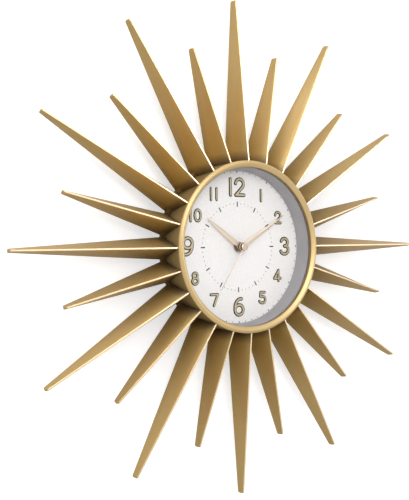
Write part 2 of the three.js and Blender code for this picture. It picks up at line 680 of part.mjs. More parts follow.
function addMovementFront() {
  const half = MOVEMENT_HALF;
  const wall = MOVEMENT_WALL;
  const box = block(-half, half, -half, half, 0, MOVEMENT_FRONT);
  const gearBay = block(-half + wall, half - wall, BAY_WALL_TOP, half - wall, -1, MOVEMENT_ROOF);
  const batteryBay = block(-half + wall, half - wall, -half + wall, BAY_WALL_TOP - 0.8, -1, MOVEMENT_ROOF);
  const bush = rod(BUSH_RADIUS, MOVEMENT_FRONT - 0.5, BUSH_TOP, 24);
  const motionStud = rod(0.6, 11.6, MOVEMENT_ROOF + 0.5, 8, MOTION_AT.x, MOTION_AT.y);
  const postTop = MOVEMENT_ROOF + 0.5;
  const posts = [[23, -7.5], [23, 22]].map(([x, y]) => rod(1.8, BRIDGE_FRONT + GAP, postTop, 12, x, y));
  const shell = union(cut(box, gearBay, batteryBay), bush, motionStud, ...posts);
  const thirdPivot = rod(PIVOT_BORE, MOVEMENT_ROOF - 1, MOVEMENT_ROOF + 0.5, 12, THIRD_AT.x, THIRD_AT.y);
  addPiece('movement_front_case', cut(shell, rod(BUSH_BORE, 10, 30, 24), thirdPivot), BLACK_PLASTIC);
}

function addMovementCover() {
  const half = MOVEMENT_HALF - MOVEMENT_WALL - GAP;
  const cover = block(-half, half, BAY_WALL_TOP + GAP, half, 0, COVER_THICKNESS);
  const bosses = PIVOTS.map((at) => rod(1.5, COVER_THICKNESS - 0.2, 1.9, 12, at.x, at.y));
  const sockets = PIVOTS.map((at) => rod(PIVOT_BORE, COVER_THICKNESS, 3, 12, at.x, at.y));
  const knobHole = rod(KNOB_RADIUS + 0.4, -1, 3, 32, KNOB_AT.x, KNOB_AT.y);
  addPiece('movement_rear_cover', cut(union(cover, ...bosses), ...sockets, knobHole), BLACK_PLASTIC);
}

function addTrainBridge() {
  const outline = [[-4, -5], [24.5, -9.5], [25.5, 24.5], [20, 24.5], [17.5, 9.5], [-4, 5]];
  const pivotHole = circlePoints(PIVOT_BORE, 12);
  const holes = [ROTOR_AT, REDUCTION_AT, CENTRE].map((at) => shifted(pivotHole, at.x, at.y));
  const body = plate(outline.map(([x, y]) => new THREE.Vector2(x, y)), BRIDGE_REAR, BRIDGE_FRONT, holes);
  addPiece('train_bridge', body, BRASS);
}

function addNutAndWasher() {
  const washerRear = DIAL_FRONT + GAP;
  const washerFront = washerRear + 0.5;
  const hole = [circlePoints(BUSH_HOLE, 24)];
  const washer = plate(circlePoints(5.4, 24), washerRear, washerFront, hole);
  addPiece('bush_washer', washer, BRASS);
  const acrossFlats = 9.2;
  const nut = plate(circlePoints(acrossFlats / Math.sqrt(3), 6), washerFront + GAP, 21.9, hole);
  addPiece('bush_nut', nut, BRASS);
}

// ---------------------------------------------------------------- electrics
const COIL_LEFT = 12.8;
const COIL_RIGHT = 23.2;
const CORE_BOTTOM = 15.6;
const CORE_TOP = 18.4;
const STATOR_REAR = 2.8;
const STATOR_FRONT = 3.6;

function addMotor() {
  const window = rectangle(COIL_LEFT - GAP, COIL_RIGHT + GAP, 7.5, CORE_BOTTOM);
  const rotorHole = shifted(circlePoints(2.7, SMALL_STEPS), ROTOR_AT.x, ROTOR_AT.y);
  const outline = rectangle(9.6, 26.2, -3.5, CORE_TOP);
  const stator = plate(outline, STATOR_REAR, STATOR_FRONT, [window, rotorHole]);
  addPiece('stator', stator, STEEL);

  const middle = (STATOR_REAR + STATOR_FRONT) / 2;
  const bottom = CORE_BOTTOM - 2.1;
  const top = CORE_TOP + 2.1;
  const winding = block(COIL_LEFT, COIL_RIGHT, bottom, top, middle - 1.7, middle + 1.9);
  const core = block(
    COIL_LEFT - 1, COIL_RIGHT + 1, CORE_BOTTOM - GAP, CORE_TOP + GAP,
    STATOR_REAR - GAP, STATOR_FRONT + GAP,
  );
  addPiece('coil', cut(winding, core), [0xb5652c, 0.45, 0.5]);
}

function addCircuit() {
  addPiece('circuit_board', block(-26, -13, -8, 20, 1.7, 2.6), [0x2f6b3f, 0.5, 0.1]);
  const can = new THREE.CylinderGeometry(1, 1, 6, 12);
  addPiece('quartz_crystal', solid(can.translate(-20, 8, 3.9)), STEEL);
}

function addBattery() {
  const cell = new THREE.LatheGeometry([
    [0, -24.7], [6.6, -24.7], [BATTERY_RADIUS, -24.2], [BATTERY_RADIUS, 24.3], [6.6, 24.8],
    [2.7, 24.8], [2.7, 25.8], [0, 25.8],
  ].map(([r, along]) => new THREE.Vector2(r, along)), 24);
  cell.rotateZ(Math.PI / 2);
  cell.translate(0, BATTERY_Y, BATTERY_DEPTH);
  addPiece('battery_cell', solid(cell), [0x3a3f46, 0.35, 0.6]);
}

// Contacts are bent strips: a profile in the x-z plane drawn as x and depth, then stood on edge.
function strip(profile, bottom, top) {
  const outline = profile.map(([x, z]) => new THREE.Vector2(x, -z));
  const shape = new THREE.Shape(outline);
  const geometry = new THREE.ExtrudeGeometry(shape, { depth: top - bottom, bevelEnabled: false });
  return solid(geometry.rotateX(-Math.PI / 2).translate(0, bottom, 0));
}

function addContacts() {
  const positive = strip([
    [-26.5, 3], [-26.2, 3], [-26.2, 12.6], [-25.2, 12.6], [-25.2, 12.9], [-26.5, 12.9],
  ], -23, -16);
  addPiece('contact_positive', positive, STEEL);
  const negative = strip([
    [26.5, 3], [26.5, 12.9], [26.2, 12.9], [26.2, 8.6], [25.3, 8.0], [26.2, 7.4], [26.2, 3],
  ], -23, -16);
  addPiece('contact_negative', negative, STEEL);
}

// ---------------------------------------------------------------- assembly
addRays();
addCase();
addRetainerRing();
addScrews();
addHangerPlate();
addFront();
addHands();
addSecondsTrain();
addMotionWork();
addMovementFront();
addMovementCover();
addTrainBridge();
addNutAndWasher();
addMotor();
addCircuit();
addBattery();
addContacts();

const wallClock = new THREE.Group();
clock.rotation.x = Math.PI / 2;
wallClock.add(clock);

export default wallClock;
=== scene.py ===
"""Looks of a sunburst wall clock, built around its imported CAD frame.

Metres. +Z is up, +X is to the right of the dial, the dial faces -Y and the wall is at Y = 0.
Places on the clock are given as (radius, angle clockwise from twelve, depth off the wall).
"""
import json
import math

import bmesh
import bpy
from mathutils import Matrix, Vector


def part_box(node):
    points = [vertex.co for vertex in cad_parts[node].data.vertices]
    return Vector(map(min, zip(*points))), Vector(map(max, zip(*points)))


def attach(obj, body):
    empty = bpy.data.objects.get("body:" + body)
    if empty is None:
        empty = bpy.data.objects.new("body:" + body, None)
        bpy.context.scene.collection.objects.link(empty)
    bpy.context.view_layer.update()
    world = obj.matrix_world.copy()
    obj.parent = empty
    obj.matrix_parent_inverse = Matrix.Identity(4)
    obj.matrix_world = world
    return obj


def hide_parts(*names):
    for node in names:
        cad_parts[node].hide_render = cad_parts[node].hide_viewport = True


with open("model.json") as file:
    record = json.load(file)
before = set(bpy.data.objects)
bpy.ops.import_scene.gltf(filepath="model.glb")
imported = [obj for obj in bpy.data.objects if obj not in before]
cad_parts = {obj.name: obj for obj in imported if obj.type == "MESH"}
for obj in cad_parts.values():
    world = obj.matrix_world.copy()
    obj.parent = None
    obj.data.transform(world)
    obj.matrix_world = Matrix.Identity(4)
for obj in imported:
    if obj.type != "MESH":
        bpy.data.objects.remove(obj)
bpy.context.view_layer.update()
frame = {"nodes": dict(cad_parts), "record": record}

MM = 0.001
ON_AXIS = 1e-7


# ------------------------------------------------------------------ reading the frame
def depths(node):
    """Distance of a node's rear and front from the wall."""
    low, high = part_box(node)
    return -high.y, -low.y


def reach(node):
    """Largest distance of a node from the hands' axis."""
    return max(math.hypot(v.co.x, v.co.z) for v in frame["nodes"][node].data.vertices)


def centre_of(node):
    """The (x, z) middle of a node."""
    low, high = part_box(node)
    return ((low.x + high.x) / 2, (low.z + high.z) / 2)


def mix(a, b, t):
    return a + (b - a) * t


def place(radius, angle, depth):
    return Vector((radius * math.sin(angle), -depth, radius * math.cos(angle)))


RAY_COUNT = 24
PITCH = 2 * math.pi / RAY_COUNT
DRUM_RADIUS = reach("case_drum")
DRUM_FRONT = depths("case_drum")[1]
DIAL_FRONT = depths("dial_plate")[1]
LENS_REAR, LENS_FRONT = depths("lens")
SURROUND_TOP = depths("dial_surround")[1]


# ------------------------------------------------------------------ mesh helpers
def shade_smooth(bm, crease):
    """Smooth shading, with a crease where faces meet at more than an angle."""
    for face in bm.faces:
        face.smooth = True
    for edge in bm.edges:
        edge.smooth = len(edge.link_faces) == 2 and edge.calc_face_angle(0.0) < crease


def add_object(name, data):
    obj = bpy.data.objects.new(name, data)
    bpy.context.scene.collection.objects.link(obj)
    return obj


def mesh_object(name, bm):
    mesh = bpy.data.meshes.new(name)
    bm.to_mesh(mesh)
    bm.free()
    return add_object(name, mesh)


def new_object(name, bm, crease=math.radians(32)):
    """A smoothly shaded mesh object from a bmesh."""
    bmesh.ops.recalc_face_normals(bm, faces=bm.faces)
    shade_smooth(bm, crease)
    return mesh_object(name, bm)


def resmooth(obj, crease=math.radians(40)):
    """Smooth shading again after a boolean."""
    bm = bmesh.new()
    bm.from_mesh(obj.data)
    bmesh.ops.remove_doubles(bm, verts=bm.verts, dist=1e-6)
    shade_smooth(bm, crease)
    bm.to_mesh(obj.data)
    bm.free()


def rings_to_bmesh(rings, closed_along=False, cap=None):
    """Quads between neighbouring rings of points. Open ends get a face, or what the cap function adds."""
    bm = bmesh.new()
    rows = [[bm.verts.new(point) for point in ring] for ring in rings]
    count = len(rows[0])
    pairs = list(zip(rows, rows[1:])) + ([(rows[-1], rows[0])] if closed_along else [])
    for a, b in pairs:
        for i in range(count):
            j = (i + 1) % count
            bm.faces.new((a[i], a[j], b[j], b[i]))
    for row in [] if closed_along else [rows[0], rows[-1]]:
        if cap:
            cap(bm, row)
        else:
            bm.faces.new(row)
    return bm


def turned(name, profile, steps=192, centre=(0.0, 0.0)):
    """A turned piece from a closed profile of (radius, depth) points; radius 0 lies on the axis."""
    bm = bmesh.new()
    columns = []
    for radius, depth in profile:
        if radius < ON_AXIS:
            columns.append([bm.verts.new((centre[0], -depth, centre[1]))])
            continue
        column = []
        for i in range(steps):
            point = place(radius, 2 * math.pi * i / steps, depth)
            column.append(bm.verts.new((point.x + centre[0], point.y, point.z + centre[1])))
        columns.append(column)
    for a, b in zip(columns, columns[1:] + columns[:1]):
        if len(a) == 1 and len(b) == 1:
            continue
        for i in range(steps):
            j = (i + 1) % steps
            corners = [a[i % len(a)], a[j % len(a)], b[j % len(b)], b[i % len(b)]]
            bm.faces.new(list(dict.fromkeys(corners)))
    return new_object(name, bm)


def corner_arc(before, corner, after, radius, steps=3):
    """Points rounding one corner of an outline."""
    before, corner, after = Vector(before), Vector(corner), Vector(after)
    start = corner + (before - corner).normalized() * radius
    end = corner + (after - corner).normalized() * radius
    turns = [k / steps for k in range(steps + 1)]
    return [tuple(start.lerp(corner, t).lerp(corner.lerp(end, t), t)) for t in turns]


def rounded_profile(corners, radius):
    """A closed profile with every corner off the axis rounded, less where its sides are short."""
    points = []
    for i, corner in enumerate(corners):
        before, after = corners[i - 1], corners[(i + 1) % len(corners)]
        if corner[0] < ON_AXIS:
            points.append(corner)
            continue
        room = 0.45 * min(math.dist(before, corner), math.dist(after, corner))
        points += corner_arc(before, corner, after, min(radius, room))
    return points


def ellipse(cx, cy, rx, ry, start, end, steps=20):
    """Points on an ellipse; angles in degrees, anticlockwise from the right."""
    points = []
    for k in range(steps + 1):
        angle = math.radians(mix(start, end, k / steps))
        points.append((cx + rx * math.cos(angle), cy + ry * math.sin(angle)))
    return points


def prism(name, outline, rear, front, centre=(0.0, 0.0), turn=0.0):
    """A plate with an (x, z) outline between two depths, turned clockwise about its centre."""
    cos_t, sin_t = math.cos(turn), math.sin(turn)

    def corner(x, z, depth):
        return (centre[0] + x * cos_t + z * sin_t, -depth, centre[1] - x * sin_t + z * cos_t)

    rings = [[corner(x, z, depth) for x, z in outline] for depth in (rear, front)]
    return new_object(name, rings_to_bmesh(rings))


def joined(name, objects):
    """One object from several."""
    bm = bmesh.new()
    for obj in objects:
        bm.from_mesh(obj.data)
        bpy.data.objects.remove(obj)
    return new_object(name, bm)


def boolean(obj, tool, operation):
    """Cuts or joins one object with another and keeps the result as its mesh."""
    modifier = obj.modifiers.new("cut", "BOOLEAN")
    modifier.operation = operation
    modifier.solver = "EXACT"
    modifier.object = tool
    bpy.context.view_layer.update()
    evaluated = obj.evaluated_get(bpy.context.evaluated_depsgraph_get())
    mesh = bpy.data.meshes.new_from_object(evaluated)
    obj.modifiers.clear()
    obj.data = mesh
    bpy.data.objects.remove(tool)


def dress(obj, body, slot, *nodes, material=None):
    """Gives a piece its body and its material, the slot's unless one is given, and hides the CAD nodes it
    stands for.
    """
    obj.data.materials.clear()
    obj.data.materials.append(material or MATERIALS[slot])
    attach(obj, body)
    if nodes:
        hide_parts(*nodes)


# ------------------------------------------------------------------ material helpers
class Look:
    """The nodes of a material, or of the world, with short calls for adding and joining them."""

    def __init__(self, name, make=bpy.data.materials.new, surface="Principled BSDF"):
        self.block = make(name)
        self.block.use_nodes = True
        self.tree = self.block.node_tree
        self.surface = self.tree.nodes[surface]

    def node(self, kind, **settings):
        made = self.tree.nodes.new(kind)
        for key, value in settings.items():
            setattr(made, key, value)
        return made

    def link(self, source, target):
        self.tree.links.new(source, target)

    def set(self, **inputs):
        for key, value in inputs.items():
            self.surface.inputs[key.replace("_", " ")].default_value = value

    def position(self, space="Object"):
        return self.node("ShaderNodeTexCoord").outputs[space]

    def noise(self, scale, detail=3.0, stretch=(1.0, 1.0, 1.0), roughness=0.5):
        """Noise in the piece's own coordinates, optionally drawn out along an axis."""
        mapping = self.node("ShaderNodeMapping")
        mapping.inputs["Scale"].default_value = stretch
        texture = self.node("ShaderNodeTexNoise")
        texture.inputs["Scale"].default_value = scale
        texture.inputs["Detail"].default_value = detail
        texture.inputs["Roughness"].default_value = roughness
        self.link(self.position(), mapping.inputs["Vector"])
        self.link(mapping.outputs["Vector"], texture.inputs["Vector"])
        return texture.outputs["Fac"]

    def remap(self, source, side, low, high):
        mapped = self.node("ShaderNodeMapRange")
        mapped.inputs[side + " Min"].default_value = low
        mapped.inputs[side + " Max"].default_value = high
        self.link(source, mapped.inputs["Value"])
        return mapped.outputs["Result"]

    def ramp(self, source, low, high):
        """Maps 0..1 to a number between low and high."""
        return self.remap(source, "To", low, high)

    def between(self, source, low, high):
        """0 below low, 1 above high."""
        return self.remap(source, "From", low, high)

    def blend(self, source, first, second):
        """A colour between two, led by a 0..1 value."""
        mix = self.node("ShaderNodeMix", data_type="RGBA")
        for key, colour in (("A", first), ("B", second)):
            socket = [s for s in mix.inputs if s.name == key and s.type == "RGBA"][0]
            if isinstance(colour, bpy.types.NodeSocket):
                self.link(colour, socket)
            else:
                socket.default_value = (*colour, 1.0)
        self.link(source, mix.inputs["Factor"])
        return [s for s in mix.outputs if s.type == "RGBA"][0]

    def bands(self, source, stops, interpolation):
        """Colours at (place, colour) stops along a 0..1 value."""
        made = self.node("ShaderNodeValToRGB")
        made.color_ramp.interpolation = interpolation
        elements = made.color_ramp.elements
        for at, colour in stops[2:]:
            elements.new(at)
        for element, (at, colour) in zip(elements, stops):
            element.position = at
            element.color = (*colour, 1.0)
        self.link(source, made.inputs["Fac"])
        return made.outputs["Color"]

    def cloudy(self, colour, dark=0.92, bright=1.06, scale=28.0):
        """A colour that drifts between a darker and a brighter tone."""
        return self.blend(self.noise(scale, 2.0), shaded(colour, dark), shaded(colour, bright))

    def dot(self, source, direction):
        product = self.node("ShaderNodeVectorMath", operation="DOT_PRODUCT")
        product.inputs[1].default_value = direction
        self.link(source, product.inputs[0])
        return product.outputs["Value"]

    def facing_front(self):
        """1 where the surface faces straight out of the dial, 0 where it is side on."""
        return self.dot(self.node("ShaderNodeNewGeometry").outputs["Normal"], (0.0, -1.0, 0.0))

    def radius(self):
        """Distance from the hands' axis in the piece's own coordinates."""
        flat = self.node("ShaderNodeVectorMath", operation="MULTIPLY")
        flat.inputs[1].default_value = (1.0, 0.0, 1.0)
        length = self.node("ShaderNodeVectorMath", operation="LENGTH")
        self.link(self.position(), flat.inputs[0])
        self.link(flat.outputs["Vector"], length.inputs[0])
        return length.outputs["Value"]

    def colour(self, output):
        self.link(output, self.surface.inputs["Base Color"])

    def roughness(self, output):
        self.link(output, self.surface.inputs["Roughness"])

    def bump(self, height, strength, distance):
        made = self.node("ShaderNodeBump")
        made.inputs["Strength"].default_value = strength
        made.inputs["Distance"].default_value = distance
        self.link(height, made.inputs["Height"])
        self.link(made.outputs["Normal"], self.surface.inputs["Normal"])


def shaded(colour, factor):
    return tuple(channel * factor for channel in colour)


def metal_lacquer(name, colour, roughness, metallic=0.9, streak=(1.0, 1.0, 1.0)):
    """Satin metallic lacquer: cloudy tone, fine flake, a faint brushed grain."""
    look = Look(name)
    look.set(Metallic=metallic, IOR=1.5)
    look.colour(look.cloudy(colour))
    finish_lacquer(look, roughness, streak)
    return look.block


def finish_lacquer(look, roughness, streak=(1.0, 1.0, 1.0)):
    look.roughness(look.ramp(look.noise(900.0, 2.0, streak), roughness - 0.06, roughness + 0.08))
    look.bump(look.noise(2600.0, 1.0), 0.06, 0.00005)


def ray_lacquer():
    """Gold lacquer on the rays, with painted light: painted shade olive towards the root and dark in the
    corners by the drum, a painted highlight on the ridge.
    """
    look = Look("ray_gold")
    look.set(Metallic=0.88, IOR=1.5)
    outward = look.radius()
    # Painted shade: an olive, darker tone near the root of each ray, fading out by 150 mm.
    tone = look.blend(look.between(outward, 92 * MM, 150 * MM), PAINTED_ROOT_SHADE, look.cloudy(GOLD))
    # Painted shade: a dark tone in the corners where the rays meet the drum, fading out by 97 mm.
    tone = look.blend(look.between(outward, 88 * MM, 97 * MM), PAINTED_CORNER_SHADE, tone)
    # Painted highlight: a pale tone wherever the ray faces straight out, mostly along the ridge.
    tone = look.blend(look.between(look.facing_front(), 0.80, 0.95), tone, PAINTED_RIDGE_HIGHLIGHT)
    look.colour(tone)
    finish_lacquer(look, 0.40, (0.05, 1.0, 1.0))
    return look.block


def bezel_lacquer():
    """Bright satin gold on the bezel, with painted shade: browner on the wall that faces the dial."""
    look = Look("bezel_gold")
    look.set(Metallic=0.92)
    tone = look.cloudy(BRIGHT_GOLD, 0.94, 1.05)
    # Painted shade: a browner tone on the inner wall, inside 79.8 mm.
    look.colour(look.blend(look.between(look.radius(), 79.52 * MM, 79.8 * MM), PAINTED_WALL_SHADE, tone))
    finish_lacquer(look, 0.50)
    return look.block


def brushed_metal(name, colour, roughness, streak):
    look = Look(name)
    look.set(Metallic=1.0)
    grain = look.noise(1400.0, 3.0, streak)
    look.colour(look.blend(grain, shaded(colour, 0.88), shaded(colour, 1.05)))
    look.roughness(look.ramp(grain, roughness - 0.07, roughness + 0.1))
    look.bump(grain, 0.08, 0.00004)
    return look.block


def moulded_plastic(name, colour, roughness, texture_scale=1500.0, strength=0.25):
    look = Look(name)
    look.colour(look.cloudy(colour, 0.9, 1.1, 40.0))
    grain = look.noise(texture_scale, 2.0)
    look.roughness(look.ramp(grain, roughness - 0.05, roughness + 0.08))
    look.bump(grain, strength, 0.00006)
    return look.block


def two_tone_bronze():
    """Raised numerals: pale faces, and painted shade near black on the sloping edges, chosen by which way
    the surface faces.
    """
    look = Look("numeral_bronze")
    look.set(Metallic=0.75)
    pale = look.blend(look.noise(60.0, 2.0), (0.69, 0.58, 0.37), (0.76, 0.65, 0.43))
    # Painted shade: side-on surfaces, the sloping edges, turn near black.
    look.colour(look.blend(look.between(look.facing_front(), 0.94, 0.99), (0.015, 0.012, 0.006), pale))
    look.roughness(look.ramp(look.noise(900.0, 2.0), 0.34, 0.46))
    look.bump(look.noise(2400.0, 1.0), 0.05, 0.00004)
    return look.block


def hub_gold():
    """Rose champagne faces with painted shade, dark bronze, on the side walls, for the hand bosses, the cap
    and the seconds blade.
    """
    look = Look("hub_gold")
    look.set(Metallic=0.75)
    pale = look.blend(look.noise(60.0, 2.0), (0.86, 0.68, 0.54), (0.92, 0.74, 0.59))
    # Painted shade: side-on surfaces of the bosses, the cap and the blade turn dark bronze.
    look.colour(look.blend(look.between(look.facing_front(), 0.25, 0.85), (0.13, 0.075, 0.036), pale))
    finish_lacquer(look, 0.38)
    return look.block


def dial_white():
    """Matt lacquered aluminium: warm white with a very fine pearl speckle."""
    look = Look("dial_white")
    cloud = look.noise(18.0, 3.0)
    base = look.blend(cloud, (0.775, 0.745, 0.742), (0.83, 0.80, 0.797))
    speckle = look.noise(1300.0, 2.0, roughness=0.7)
    look.colour(look.blend(look.between(speckle, 0.48, 0.80), base, (0.97, 0.955, 0.965)))
    look.roughness(look.ramp(speckle, 0.48, 0.62))
    look.bump(speckle, 0.08, 0.00005)
    return look.block


def clear_lens():
    """Thin clear pane: light passes straight through, with a faint reflection at a slant."""
    look = Look("lens_clear")
    output = look.tree.nodes["Material Output"]
    passing = look.node("ShaderNodeBsdfTransparent")
    passing.inputs["Color"].default_value = (0.985, 0.99, 0.988, 1.0)
    shine = look.node("ShaderNodeBsdfGlossy")
    look.link(look.ramp(look.noise(6.0, 2.0), 0.01, 0.04), shine.inputs["Roughness"])
    slant = look.node("ShaderNodeFresnel")
    slant.inputs["IOR"].default_value = 1.08
    mix = look.node("ShaderNodeMixShader")
    look.link(slant.outputs["Fac"], mix.inputs["Fac"])
    look.link(passing.outputs["BSDF"], mix.inputs[1])
    look.link(shine.outputs["BSDF"], mix.inputs[2])
    look.link(mix.outputs["Shader"], output.inputs["Surface"])
    return look.block


def battery_sleeve():
    """A plain two-tone sleeve: bright band at the positive end, dark body, bare steel ends."""
    look = Look("battery_wrap")
    low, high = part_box("battery_cell")
    stops = [
        (0.0, BARE_STEEL), (0.045, (0.75, 0.42, 0.12)), (0.27, (0.03, 0.032, 0.038)), (0.975, BARE_STEEL),
    ]
    along = look.between(look.dot(look.position(), (1.0, 0.0, 0.0)), low.x, high.x)
    look.colour(look.bands(along, stops, "CONSTANT"))
    look.set(Metallic=0.75)
    look.roughness(look.ramp(look.noise(300.0, 2.0), 0.22, 0.34))
    return look.block


GOLD = (0.475, 0.328, 0.135)
# Painted shade at the rays' root.
PAINTED_ROOT_SHADE = (0.385, 0.276, 0.105)
# Painted shade in the rays' corners by the drum.
PAINTED_CORNER_SHADE = (0.15, 0.105, 0.055)
# Painted highlight on the rays' ridges.
PAINTED_RIDGE_HIGHLIGHT = (0.66, 0.51, 0.28)
# Painted shade on the bezel's inner wall.
PAINTED_WALL_SHADE = (0.30, 0.19, 0.085)
BRIGHT_GOLD = (0.655, 0.49, 0.245)
CHAMPAGNE = (0.93, 0.77, 0.61)
BARE_STEEL = (0.62, 0.62, 0.64)
MATERIALS = {
    "ray_gold": ray_lacquer(),
    "case_gold": metal_lacquer("case_gold", (0.44, 0.33, 0.15), 0.46, 0.8),
    "bezel_gold": bezel_lacquer(),
    "lens_clear": clear_lens(),
    "dial_white": dial_white(),
    "surround_grey": moulded_plastic("surround_grey", (0.365, 0.35, 0.37), 0.48, 900.0, 0.12),
    "hand_gold": metal_lacquer("hand_gold", CHAMPAGNE, 0.45, 0.7, (1.0, 1.0, 0.08)),
    "brass": brushed_metal("brass", (0.72, 0.52, 0.22), 0.28, (1.0, 1.0, 1.0)),
    "steel": brushed_metal("steel", (0.60, 0.61, 0.63), 0.30, (1.0, 1.0, 0.15)),
    "black_plastic": moulded_plastic("black_plastic", (0.022, 0.022, 0.024), 0.48),
    "white_plastic": moulded_plastic("white_plastic", (0.78, 0.76, 0.70), 0.35, 700.0, 0.08),
    "coil_copper": brushed_metal("coil_copper", (0.60, 0.24, 0.09), 0.32, (0.1, 1.0, 1.0)),
    "board_green": moulded_plastic("board_green", (0.03, 0.16, 0.07), 0.35, 400.0, 0.15),
    "battery_wrap": battery_sleeve(),
}
NUMERAL_BRONZE = two_tone_bronze()
HUB_GOLD = hub_gold()
PRINT_GREY = moulded_plastic("print_grey", (0.022, 0.022, 0.025), 0.6, 1200.0, 0.05)
PRINT_PALE = moulded_plastic("print_pale", (0.15, 0.15, 0.155), 0.6, 1200.0, 0.05)


# ------------------------------------------------------------------ rays
RIDGE_HALF = 0.8 * MM
RIDGE_ROUND = 0.3 * MM
LIP_ROUND = 0.3 * MM
RAY_ROOT = DRUM_RADIUS + 0.4 * MM
RAY_ROOT_HALF = 11.2 * MM
RAY_TIP_HALF = 1.95 * MM
RAY_WALL = 1.8 * MM
RAY_ROOT_WALL = 2.2 * MM
RAY_SOLID_TIP = 16 * MM
RAY_TIP_ROUND = 1.6 * MM
RAY_TIP_SCALE = 0.45
RAY_CROWN_HALF = 0.3 * MM
RAY_STATIONS = 16
RIDGE_ROOT_DEPTH = depths("ray_long_01")[1]
RIDGE_TIP_DEPTH = 22.0 * MM
REAR_ROOT_DEPTH = 13.3 * MM
REAR_TIP_DEPTH = 15.0 * MM
# (radius, depth where the flare leaves the flank, depth of the valley floor)
FLARES = ((RAY_ROOT, 21.0 * MM, 16.0 * MM), (90.6 * MM, 18.5 * MM, 14.4 * MM))
MITRE_GAP = 0.1 * MM
FLARE_LAP = 0.25 * MM
FLARE_FOOT_LAP = 1.5 * MM


def ray_section(radius, tip):
    """Depth of the ridge, depth of the rear and half width at one radius."""
    along = (radius - DRUM_RADIUS) / (tip - DRUM_RADIUS)
    return (
        mix(RIDGE_ROOT_DEPTH, RIDGE_TIP_DEPTH, along), mix(REAR_ROOT_DEPTH, REAR_TIP_DEPTH, along),
        mix(RAY_ROOT_HALF, RAY_TIP_HALF, along),
    )


def ray_ring(radius, tip, hollow, scale=1.0):
    """One closed section of a ray: (across, depth) points, hollow from the rear or solid."""
    ridge, rear, half = ray_section(radius, tip)
    lean = (half - RIDGE_HALF) / (ridge - rear)
    across = RAY_WALL * math.hypot(1.0, lean)
    if hollow:
        mouth = half - across
        crown = rear + (mouth - RAY_CROWN_HALF) / lean
        inner = [(mouth, rear), (RAY_CROWN_HALF, crown), (-RAY_CROWN_HALF, crown), (-mouth, rear)]
    else:
        mouth = max(half - across, half * 0.35)
        inner = [(mouth, rear), (mouth / 3, rear), (-mouth / 3, rear), (-mouth, rear)]
    left_crest, right_crest = (-RIDGE_HALF, ridge), (RIDGE_HALF, ridge)
    left_foot, right_foot = (-half, rear), (half, rear)
    ring = corner_arc(inner[3], left_foot, left_crest, LIP_ROUND)
    ring += [tuple(Vector(left_foot).lerp(Vector(left_crest), t)) for t in (0.35, 0.7)]
    ring += corner_arc(left_foot, left_crest, right_crest, RIDGE_ROUND)
    ring += corner_arc(left_crest, right_crest, right_foot, RIDGE_ROUND)
    ring += [tuple(Vector(right_crest).lerp(Vector(right_foot), t)) for t in (0.3, 0.65)]
    ring += corner_arc(right_crest, right_foot, inner[0], LIP_ROUND)
    ring += inner
    middle = (ridge + rear) / 2
    return [(x * scale, middle + (depth - middle) * scale) for x, depth in ring]


def ray_mesh(name, tip):
    """A hollow tapered ray along +Z from the drum, its ridge towards -Y, open at the rear."""
    hollow_start = RAY_ROOT + RAY_ROOT_WALL
    hollow_end = tip - RAY_SOLID_TIP
    stations = [(RAY_ROOT, False, 1.0), (hollow_start, False, 1.0), (hollow_start + 0.2 * MM, True, 1.0)]
    shares = [k / RAY_STATIONS for k in range(1, RAY_STATIONS + 1)]
    stations += [(mix(hollow_start, hollow_end, share), True, 1.0) for share in shares]
    stations += [(hollow_end + 0.5 * MM, False, 1.0), (tip - 8 * MM, False, 1.0)]
    for k in range(6):
        angle = math.pi / 2 * k / 5
        end = tip - RAY_TIP_ROUND * (1 - math.sin(angle))
        stations.append((end, False, mix(RAY_TIP_SCALE, 1.0, math.cos(angle))))
    rings = [
        [(x, -depth, radius) for x, depth in ray_ring(radius, tip, hollow, scale)]
        for radius, hollow, scale in stations
    ]
    return new_object(name, rings_to_bmesh(rings), math.radians(24))


def flare_mesh(name, tip):
    """Both flares of a ray's root, sloping from its flanks to the valleys shared with its neighbours."""
    sides = []
    for hand in (-1, 1):
        rings = []
        for radius, shoulder, valley in FLARES:
            ridge, rear, half = ray_section(radius, tip)
            mitre = radius * math.tan(PITCH / 2) - MITRE_GAP / 2
            at_shoulder = mix(RIDGE_HALF, half, (ridge - shoulder) / (ridge - rear)) - FLARE_LAP
            foot = mix(RIDGE_HALF, half, (ridge - REAR_ROOT_DEPTH) / (ridge - rear)) - FLARE_FOOT_LAP
            section = [
                (foot, REAR_ROOT_DEPTH), (mitre, REAR_ROOT_DEPTH), (mitre, valley),
                (mix(mitre, at_shoulder, 0.45), mix(valley, shoulder, 0.36)), (at_shoulder, shoulder),
            ]
            rings.append([(hand * x, -depth, radius) for x, depth in section])
        side_name = name if hand > 0 else "flare_left"
        sides.append(new_object(side_name, rings_to_bmesh(rings), math.radians(30)))
    return joined(name, [sides[1], sides[0]])


def build_rays():
    first = {}
    for i in range(RAY_COUNT):
        kind = "ray_long" if i % 2 == 0 else "ray_short"
        node = f"{kind}_{i // 2 + 1:02d}"
        if kind in first:
            obj = add_object(node + "_shell", first[kind])
        else:
            tip = reach(node)
            obj = joined(node + "_shell", [ray_mesh("body", tip), flare_mesh("flare_right", tip)])
            first[kind] = obj.data
        obj.matrix_world = Matrix.Rotation(i * PITCH, 4, "Y")
        dress(obj, "root", "ray_gold", node)


# ------------------------------------------------------------------ case
PARTITION_REAR = 16.6 * MM
PARTITION_FRONT = 17.8 * MM
DRUM_REAR = 12.3 * MM
DRUM_WALL = 2.0 * MM
SKIRT_RADIUS = 71.0 * MM
SKIRT_WALL = 1.8 * MM
BUSH_HOLE = 3.7 * MM
RETAINER_SCREW_RADIUS = 73.8 * MM
RETAINER_SCREW_ANGLE = 7.5
RETAINER_BORE, RETAINER_STEP = 71.6 * MM, 13.1 * MM
FLANGE_INNER, FLANGE_OUTER = 78.5 * MM, 79.9 * MM
POST_BORE = 1.1 * MM


